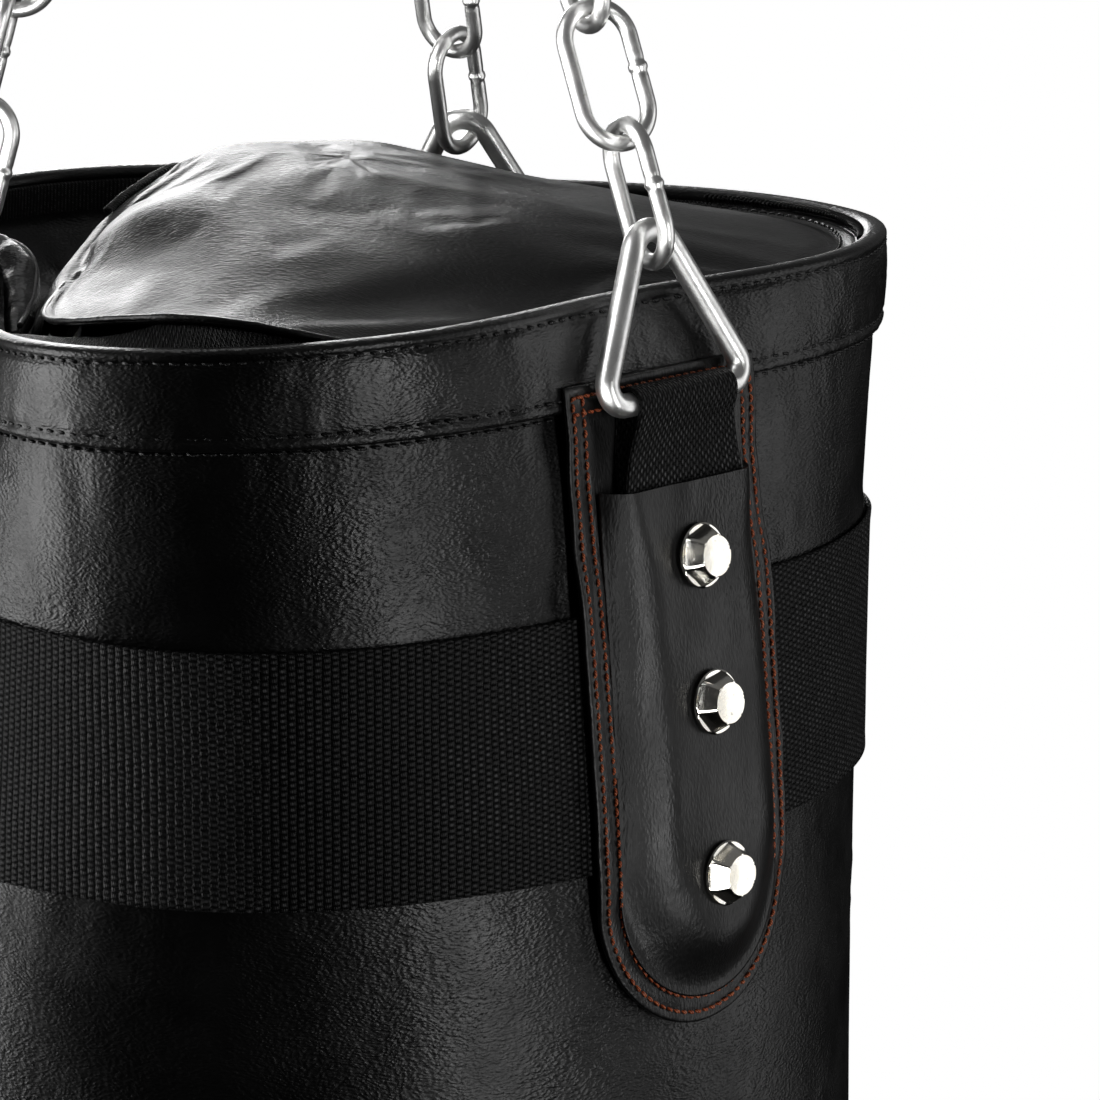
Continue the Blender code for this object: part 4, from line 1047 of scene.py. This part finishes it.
def edge_value(azimuth, column):
    """A smooth periodic curve through one column of LID_EDGE, in metres."""
    degrees = (np.degrees(azimuth) + 180) % 360 - 180
    rows = np.array(LID_EDGE + ((180, *LID_EDGE[0][1:]),), float)
    fine = np.arange(-180, 180, 1.0)
    curve = np.interp(fine, rows[:, 0], rows[:, column])
    curve = np.convolve(np.concatenate([curve[-8:], curve, curve[:8]]), bell(17), "valid")
    return np.interp(degrees, np.append(fine, 180), np.append(curve, curve[0])) * MM


def lid_wall(azimuth):
    """The radius of the wall that the lid's edge lies against."""
    return radius_at(azimuth, RIM - 7 * MM) - LID_CLEARANCE


def lid_edge(azimuth, further=0.0, lift=0.0):
    """Points on the lid's edge, moved outwards by further and up by lift."""
    held = lid_wall(azimuth) - edge_value(azimuth, 2)
    drawn = edge_value(azimuth, 1)
    radius = -np.logaddexp(-held / EDGE_BLEND, -drawn / EDGE_BLEND) * EDGE_BLEND
    return polar(radius + further, azimuth, RIM + edge_value(azimuth, 3) + lift)


def lid_gap(azimuth):
    """How far the lid's edge is drawn in from the wall."""
    edge = lid_edge(azimuth)
    return lid_wall(azimuth) - np.hypot(edge[:, 0], edge[:, 1])


def flat_waves(x, y, seed, size):
    """Smooth noise over the plan, from a few dozen waves."""
    rng = np.random.default_rng(seed)
    total = np.zeros_like(x)
    for _ in range(28):
        angle, phase = rng.uniform(0, TAU), rng.uniform(0, TAU)
        wave = TAU / (size * rng.uniform(0.7, 1.6))
        total += np.cos(wave * (x * math.cos(angle) + y * math.sin(angle)) + phase)
    return total / math.sqrt(14)


def thin_plate(known, values):
    """The smoothest surface through these heights at these places, as a function of place."""

    def bend(a, b):
        squared = ((a[:, None, :] - b[None, :, :]) ** 2).sum(axis=2)
        return np.where(squared > 0, squared * np.log(np.maximum(squared, 1e-12)), 0.0)

    def flat(where):
        return np.column_stack([np.ones(len(where)), where])

    count = len(known)
    system = np.zeros((count + 3, count + 3))
    system[:count, :count] = bend(known, known) + 0.004 * np.eye(count)
    system[:count, count:] = flat(known)
    system[count:, :count] = flat(known).T
    weights = np.linalg.solve(system, np.append(values, np.zeros(3)))
    return lambda where: bend(where, known) @ weights[:count] + flat(where) @ weights[count:]


def lid_surface():
    """The filling's top as a function of place: it meets the lid's edge and rises to LID_SHAPE."""
    rim_marks = lid_edge(np.radians(np.arange(-180, 180, 9)))
    marks = np.concatenate([rim_marks, np.array(LID_SHAPE) * MM + UP * RIM])
    # Decimetres across and centimetres up keep the equations well scaled.
    heights = thin_plate(marks[:, :2] * 10, (marks[:, 2] - RIM) * 100)
    return lambda flat: heights(flat * 10) / 100 + RIM


LID_HEIGHT = lid_surface()
LID_MIDDLE = np.array([8 * MM, 12 * MM])


def lid_rows(shares, azimuth, drop=0.0):
    """Rings of the cover from its edge (share 1) to its middle (share 0)."""
    edge = lid_edge(azimuth)
    rows = []
    for share in shares:
        flat = LID_MIDDLE + (edge[:, :2] - LID_MIDDLE) * share
        top = LID_HEIGHT(flat)
        top = top + (edge[:, 2] - top) * step(0.90, 1.0, share)
        uneven = 0.35 * MM * (1 - share**8) * min(1.0, share * 4)
        top = top + uneven * flat_waves(flat[:, 0], flat[:, 1], 7, 50 * MM)
        rows.append(np.column_stack([flat, top - drop]))
    return np.array(rows)


def settle_lid(top):
    """Cloth simulation: the cover is a little too big for its edge, so it swells and creases."""
    rings, across = top.shape[:2]
    piece = surface("lid_settling", top, LID_LEATHER)
    pinned = piece.vertex_groups.new(name="edge")
    pinned.add(list(range(across * 2)), 1.0, "REPLACE")
    pinned.add(list(range(across * (rings - 1), across * rings)), 0.6, "REPLACE")
    modifier = piece.modifiers.new("cloth", "CLOTH")
    cloth = modifier.settings
    cloth.quality = 6
    cloth.mass = 0.3
    cloth.tension_stiffness = 25
    cloth.compression_stiffness = 25
    cloth.shear_stiffness = 12
    cloth.bending_stiffness = 2.5
    cloth.shrink_min = -0.010
    cloth.use_pressure = True
    cloth.uniform_pressure_force = 0.30
    cloth.vertex_group_mass = "edge"
    cloth.effector_weights.gravity = 0
    modifier.collision_settings.use_collision = False
    scene = bpy.context.scene
    scene.frame_start, scene.frame_end = 1, 20
    for number in range(1, 21):
        scene.frame_set(number)
    settled = piece.evaluated_get(bpy.context.evaluated_depsgraph_get())
    points = np.empty(len(piece.data.vertices) * 3)
    settled.to_mesh().vertices.foreach_get("co", points)
    settled.to_mesh_clear()
    scene.frame_set(1)
    bpy.data.objects.remove(piece)
    # Small moves stay as they are, and large ones level off at the cap.
    moved = points.reshape(top.shape) - top
    length = np.linalg.norm(moved, axis=2, keepdims=True)
    cap = 2.0 * MM
    return top + moved * cap * np.tanh(length / cap) / np.maximum(length, 1e-9)


def cubic(before, a, b, after, t):
    """A smooth curve from a to b that also follows their neighbours."""
    second = 2 * before - 5 * a + 4 * b - after
    third = 3 * a - before - 3 * b + after
    return 0.5 * (2 * a + (b - before) * t + second * t**2 + third * t**3)


def refined(grid, times):
    """The grid with extra rows and columns between its own, on smooth curves."""
    rings, across = grid.shape[:2]
    at_rows = np.linspace(0, rings - 1, (rings - 1) * times + 1)
    low = np.clip(np.floor(at_rows).astype(int), 0, rings - 2)
    t = (at_rows - low)[:, None, None]
    grid = cubic(*(grid[np.clip(low + shift, 0, rings - 1)] for shift in (-1, 0, 1, 2)), t)
    at_across = np.arange(across * times) / times
    low = np.floor(at_across).astype(int)
    t = (at_across - low)[None, :, None]
    return cubic(*(grid[:, (low + shift) % across] for shift in (-1, 0, 1, 2)), t)


def cord(name, path, radius, sides, material, slot):
    """A round cord along an open path, closed at both ends."""
    grid = tube_grid(path, radius, sides, False, UP)
    place(surface(name, grid, material, caps=True), "bag", slot)


def make_lid():
    """The cover over the filling. Where nothing holds it, at the left, its hem falls loose."""
    azimuth = TAU * np.arange(200) / 200
    shares = np.concatenate([[1.0, 0.985], np.linspace(0.965, 0.02, 46)])
    top = lid_rows(shares, azimuth)
    top = settle_lid(top)
    top = refined(top, 2)
    azimuth = TAU * np.arange(top.shape[1]) / top.shape[1]
    apart = np.abs(turn_between(azimuth, math.radians(-110)))
    loose = 1 - step(math.radians(60), math.radians(74), apart)[:, None]
    edge = top[0]
    outward = outwards(edge)
    fall = []
    for angle in np.linspace(0, 1, 16)[1:] * math.radians(84):
        out = 9 * MM * math.sin(angle) + 3 * MM * angle
        down = 34 * MM * (1 - math.cos(angle)) ** 0.9
        ripple = 1.4 * MM * angle * flat_waves(edge[:, 0] + angle * 0.01, edge[:, 1], 27, 30 * MM)[:, None]
        fall.append(edge + loose * (outward * (out + ripple) - UP * down))
    hem = edge * (1 - loose) + fall[-1] * loose
    inward = (outward * 1.3 * MM + UP * 0.3 * MM) * loose + UP * 1.4 * MM * (1 - loose)
    under = top[::-1] - UP * 1.5 * MM
    fall_under = [row - inward for row in fall]
    middle = hem + outward * 0.5 * MM - UP * 0.75 * MM
    grid = np.concatenate([under, fall_under, [middle], fall[::-1], top])
    place(surface("lid_cover", grid, LID_LEATHER, caps=True), "bag", "leather", "lid")


def make_lid_edge():
    """The cover's bound edge and its stitches, where the edge shows."""
    azimuth = arc_azimuths(-52, 175)
    edge = lid_edge(azimuth, further=0.1 * MM, lift=-0.5 * MM)
    ends = np.sin(math.pi * np.linspace(0.01, 0.99, len(azimuth))) ** 0.15
    uneven = 1 + 0.10 * flat_waves(edge[:, 0], edge[:, 1], 9, 12 * MM)
    cord("lid_binding", edge, 0.95 * MM * uneven * ends, 14, HEM_LEATHER, "leather")
    row = lid_rows(np.array([0.965]), arc_azimuths(62, 170))[0] + UP * 0.1 * MM
    normals = unit(outwards(row) * 0.45 + UP)
    stitch_row("lid_stitches", row, normals, 3.6 * MM, 2.9 * MM, 0.42 * MM, BLACK_THREAD, "leather")


def arc_azimuths(low, high):
    """Azimuths about a mm apart along the rim, between two given in degrees."""
    count = max(3, int(math.radians(high - low) * 0.12 / MM))
    return np.radians(np.linspace(low, high, count))


def soft_strip(name, rows, thickness, material, slot):
    """A leather or fabric strip: rows of points with thickness below them, closed all round."""
    normal = unit(np.cross(np.gradient(rows, axis=1), np.gradient(rows, axis=0)))
    grid = np.concatenate([rows, (rows - normal * thickness)[::-1]])
    count, across = grid.shape[:2]
    quads, _, _ = grid_quads(count, across, True, False)
    half = count // 2
    ends = []
    for column in (0, across - 1):
        loop = np.arange(count) * across + column
        top, bottom = loop[:half], loop[half:][::-1]
        end = np.stack([top[:-1], top[1:], bottom[1:], bottom[:-1]], axis=1)
        ends.append(end if column == 0 else end[:, ::-1])
    place(mesh_from(name, grid, [quads[:, ::-1], np.concatenate(ends)], material), "bag", slot)


def make_lining():
    """Slack lining between the lid and the wall, where the lid is drawn in."""
    azimuth = arc_azimuths(-182, -28)
    outer = at(azimuth, RIM - 11 * MM, -LID_CLEARANCE - 0.5 * MM)
    inner = lid_edge(azimuth, further=-3 * MM, lift=-6 * MM)
    width = np.clip(lid_gap(azimuth) / (50 * MM), 0.05, 1)
    rows = []
    for share in np.linspace(0, 1, 26):
        ring = outer * (1 - share) + inner * share
        ring[:, 2] -= 30 * MM * math.sin(math.pi * share) ** 0.8 * width
        ring[:, 2] += 1.6 * MM * flat_waves(ring[:, 0], ring[:, 1], 23, 17 * MM) * math.sin(math.pi * share)
        rows.append(ring)
    soft_strip("slack_lining", np.array(rows[::-1]), 1.0 * MM, HEM_LEATHER, "leather")


def make_zip_coils():
    """The coil zip along the lid's edge, at the back left and at the right."""
    for name, low, high, further, lift in (
        ("zip_coil_left", -150, -96, 3.2 * MM, -0.5 * MM),
        ("zip_coil_right", 96, 128, 1.2 * MM, 2.2 * MM),
    ):
        azimuth = np.radians(np.linspace(low, high, 2400))
        path = lid_edge(azimuth, further, lift)
        angle = TAU * lengths(path) / (1.5 * MM)
        across = outwards(path) * (1.5 * MM * np.cos(angle))[:, None]
        helix = resampled(path + across + UP * (0.8 * MM * np.sin(angle))[:, None], 0.45 * MM)
        coil = tube_grid(helix, 0.38 * MM, 6, False, (0.31, 0.17, 0.93))
        place(surface(name, coil, COIL, caps=True), "bag", "closure_fabric")


def make_rolled_edge():
    """A rolled leather edge with piping inside the left hanger."""
    azimuth = arc_azimuths(-98, -48)
    share = np.linspace(0, 1, len(azimuth))
    fade = np.sin(math.pi * np.clip(share, 0.02, 0.98)) ** 0.35
    centre = at(azimuth, RIM - 3.0 * MM, -11.5 * MM)
    centre[:, 2] += 2.2 * MM * np.sin(share * 5.0) - 2 * MM * (1 - fade)
    roll = tube_grid(centre, 5.2 * MM * fade, 26, False, UP)
    roll[:, :, 2] += 0.35 * MM * flat_waves(roll[:, :, 0], roll[:, :, 1], 25, 12 * MM)
    place(surface("rolled_edge", roll, HEM_LEATHER, caps=True), "bag", "leather")
    piping = centre - outwards(centre) * (4.3 * MM * fade)[:, None] + UP * 3.1 * MM
    cord("rolled_edge_piping", piping, 0.8 * MM, 12, PIPING, "leather")


def make_filling():
    """Packed textile shreds, hidden under the lid except where the cover gapes."""
    azimuth = around(5)
    lumps = smooth_noise(120, 16, 16)
    rows = []
    for height in np.concatenate([[4 * MM], np.linspace(8 * MM, RIM - 46 * MM, 58)]):
        lump = 0.5 * MM * lookup(lumps, azimuth, height).clip(-2, 1)
        rows.append(polar(radius_at(azimuth, height) - WALL - 1.6 * MM + lump, azimuth, height))
    wall_ring = rows[-1]
    for share in (0.97, 0.9, 0.8):
        rows.append(wall_ring * np.array([share, share, 1]) - UP * 20 * MM * (1 - share))
    rows += list(lid_rows(np.linspace(0.72, 0.03, 20), azimuth, drop=12 * MM))
    n = Nodes("textile_filling")
    fibre = n.bump(n.noise(900, 8, 0.7), 0.0015, 0.8)
    rag = n.cells(90, output=1)
    tone = n.add("ShaderNodeHueSaturation", {1: 0.25, 2: 0.16, 4: rag})
    material = n.finish(Base_Color=tone, Roughness=0.95, Normal=fibre)
    piece = surface("packed_filling", np.array(rows), material, caps=True)
    place(piece, "bag", "stuffing", "filling")


def make_closure_tape():
    """The twill tape sewn inside the rim: it leans in and shows where the lid's edge gapes."""
    azimuth = around(1.3)
    wall_foot = at(azimuth, RIM - 24 * MM, -WALL - 1.2 * MM)
    wall_top = at(azimuth, RIM - 1.7 * MM, -LID_CLEARANCE + 0.1 * MM)
    under_lid = lid_edge(azimuth, further=-1.5 * MM, lift=-2.6 * MM)
    reach = np.clip(2.2 - lid_gap(azimuth) / (8 * MM), 0, 1)[:, None]
    tucked = wall_top + (under_lid - wall_top) * reach
    rows = [wall_foot * (1 - share) + wall_top * share for share in np.linspace(0, 1, 12)[:-1]]
    rows += [wall_top * (1 - share) + tucked * share for share in np.linspace(0, 1, 10)]
    face = np.array(rows)
    back = face[::-1] - outwards(face[::-1]) * 0.9 * MM - UP * 0.5 * MM
    grid = np.concatenate([face, back])
    u = np.append(azimuth, TAU) * MEAN_RADIUS
    row_gaps = np.linalg.norm(np.diff(grid, axis=0), axis=2).mean(axis=1)
    v = np.concatenate([[0], np.cumsum(row_gaps), [0]])
    piece = surface("closure_twill", grid, TWILL, wrap_rows=True, uv=(u, v))
    place(piece, "bag", "closure_fabric", "closure_tape")


# Build everything.

make_sleeve()
make_collar()
make_hem_stitches()
make_band()
make_bottom()
make_lid()
make_lid_edge()
make_lining()
make_zip_coils()
make_rolled_edge()
make_filling()
make_closure_tape()
for hanger_number, hanger in enumerate(HANGERS):
    make_patch(hanger)
    make_patch_stitches(hanger)
    make_pad(hanger)
    make_strap(hanger)
    for bolt_number in (1, 2, 3):
        make_bolt(hanger, bolt_number)
    make_ring(hanger)
    for link in range(1, LINKS + 1):
        make_link(f"link_{hanger}_{link}", LINKS * hanger_number + link)

# The CAD model's own shapes stay for the rest of the metal.
FITTING_MATERIALS = {
    "spreader_plate": ZINC,
    "clevis_pin": BRIGHT,
    "swivel_eye": ZINC,
    "swivel_yoke": ZINC,
    "snap_hook": ZINC,
    "gate": BRIGHT,
    "gate_pin": BRIGHT,
}
for node_name, material in FITTING_MATERIALS.items():
    NODES[node_name].data.materials.clear()
    NODES[node_name].data.materials.append(material)


# Stage: a pale floor, soft lights and the camera.


def make_floor():
    """A pale floor: white to the camera, and dark to the object, so that it throws little light back."""
    n = Nodes("pale_floor")
    seen = n.add("ShaderNodeLightPath", output=0)
    tint = n.mix(seen, (0.05, 0.05, 0.05, 1), (0.86, 0.86, 0.86, 1))
    glow = {"Emission_Color": (1, 1, 1, 1), "Emission_Strength": seen}
    material = n.finish(Base_Color=tint, Roughness=0.8, **glow)
    azimuth = TAU * np.arange(96) / 96
    rows = [polar(radius, azimuth, -MM) for radius in (0.05, 1, 4, 12, 40)]
    surface("studio_floor", np.array(rows), material, caps=True)


def make_world():
    """White to the camera; to the object, a dark room with a dim back wall and ceiling."""
    world = bpy.data.worlds.new("studio")
    bpy.context.scene.world = world
    world.use_nodes = True
    tree = world.node_tree
    tree.nodes.clear()

    def add(kind, inputs, output=0, **settings):
        node = tree.nodes.new(kind)
        for key, value in settings.items():
            setattr(node, key, value)
        for key, value in enumerate(inputs):
            if isinstance(value, bpy.types.NodeSocket):
                tree.links.new(value, node.inputs[key])
            else:
                node.inputs[key].default_value = value
        return node.outputs[output]

    def span(value, low, high, out_low, out_high):
        inputs = (value, low, high, out_low, out_high)
        return add("ShaderNodeMapRange", inputs, interpolation_type="SMOOTHSTEP")

    where = add("ShaderNodeTexCoord", ())
    back, up = (add("ShaderNodeSeparateXYZ", (where,), k) for k in (1, 2))
    behind = span(back, -0.2, 0.7, 0.005, 0.14)
    above = span(up, 0.35, 0.95, 0.0, 0.15)
    lit = add("ShaderNodeMath", (behind, above), operation="MAXIMUM")
    room = add("ShaderNodeBackground", ((0.8, 0.8, 0.8, 1), lit))
    white = add("ShaderNodeBackground", ((1, 1, 1, 1), 1.0))
    seen = add("ShaderNodeLightPath", ())
    mixed = add("ShaderNodeMixShader", (seen, room, white))
    tree.links.new(mixed, tree.nodes.new("ShaderNodeOutputWorld").inputs[0])


def add_light(name, azimuth, distance, height, aim_height, size, power, only=None):
    """A soft box at this azimuth in degrees, turned to the bag's axis. only is what it lights alone."""
    light = bpy.data.lights.new(name, "AREA")
    light.shape = "RECTANGLE"
    light.size, light.size_y = size
    light.energy = power
    lamp = bpy.data.objects.new(name, light)
    where = Vector(polar(distance, math.radians(azimuth), height))
    lamp.location = where
    lamp.rotation_euler = (Vector((0, 0, aim_height)) - where).to_track_quat("-Z", "Y").to_euler()
    lamp.visible_camera = False
    if only is not None:
        lamp.light_linking.receiver_collection = only
    bpy.context.scene.collection.objects.link(lamp)


def make_camera():
    """A long lens that looks down a little at the top of the bag."""
    pitch, roll, distance = math.radians(13.32), math.radians(0.28), 1.309
    target = Vector((0.06505, 0, RIM - 0.08707))
    forward = Vector((0, math.cos(pitch), -math.sin(pitch)))
    camera = bpy.data.cameras.new("camera")
    camera.lens, camera.sensor_width = 152.6, 36
    camera.clip_end = 100
    seat = bpy.data.objects.new("camera", camera)
    bpy.context.scene.collection.objects.link(seat)
    turn = Matrix.Rotation(math.pi / 2 - pitch, 4, "X") @ Matrix.Rotation(roll, 4, "Z")
    seat.matrix_world = Matrix.Translation(target - forward * distance) @ turn
    bpy.context.scene.camera = seat


SHOULDER_PIECES = bpy.data.collections.new("shoulder_pieces")
for hanger in HANGERS:
    SHOULDER_PIECES.objects.link(bpy.data.objects[f"hanger_pad_{hanger}"])
METAL_PIECES = bpy.data.collections.new("metal_pieces")
for metal_piece in bpy.context.scene.objects:
    if metal_piece.type == "MESH" and metal_piece.active_material in (ZINC, BRIGHT):
        METAL_PIECES.objects.link(metal_piece)

bpy.context.scene.view_settings.view_transform = "Standard"
make_floor()
make_world()
add_light("key_left", -92, 1.7, 0.75, 0.85, (0.6, 1.7), 20)
add_light("key_right", 46, 1.9, 0.70, 0.85, (0.28, 1.5), 11)
add_light("back_left", -165, 2.2, 1.50, 1.0, (1.2, 0.4), 19)
add_light("overhead", -165, 0.9, 2.2, 1.0, (0.9, 0.6), 1.5)
add_light("side_right", 97, 1.6, 0.80, 0.9, (0.5, 1.8), 4)
add_light("shoulder_front", 12, 1.8, 0.60, 0.9, (0.35, 1.2), 4, SHOULDER_PIECES)
add_light("metal_right", 80, 1.7, 0.70, 0.9, (0.6, 1.8), 3, METAL_PIECES)
add_light("metal_front", -17, 1.8, 0.55, 0.95, (1.5, 1.2), 42, METAL_PIECES)
add_light("metal_left", -60, 1.7, 0.85, 1.0, (1.4, 1.8), 38, METAL_PIECES)
add_light("metal_high", -64, 1.8, 2.35, 1.2, (1.4, 1.1), 22, METAL_PIECES)
make_camera()
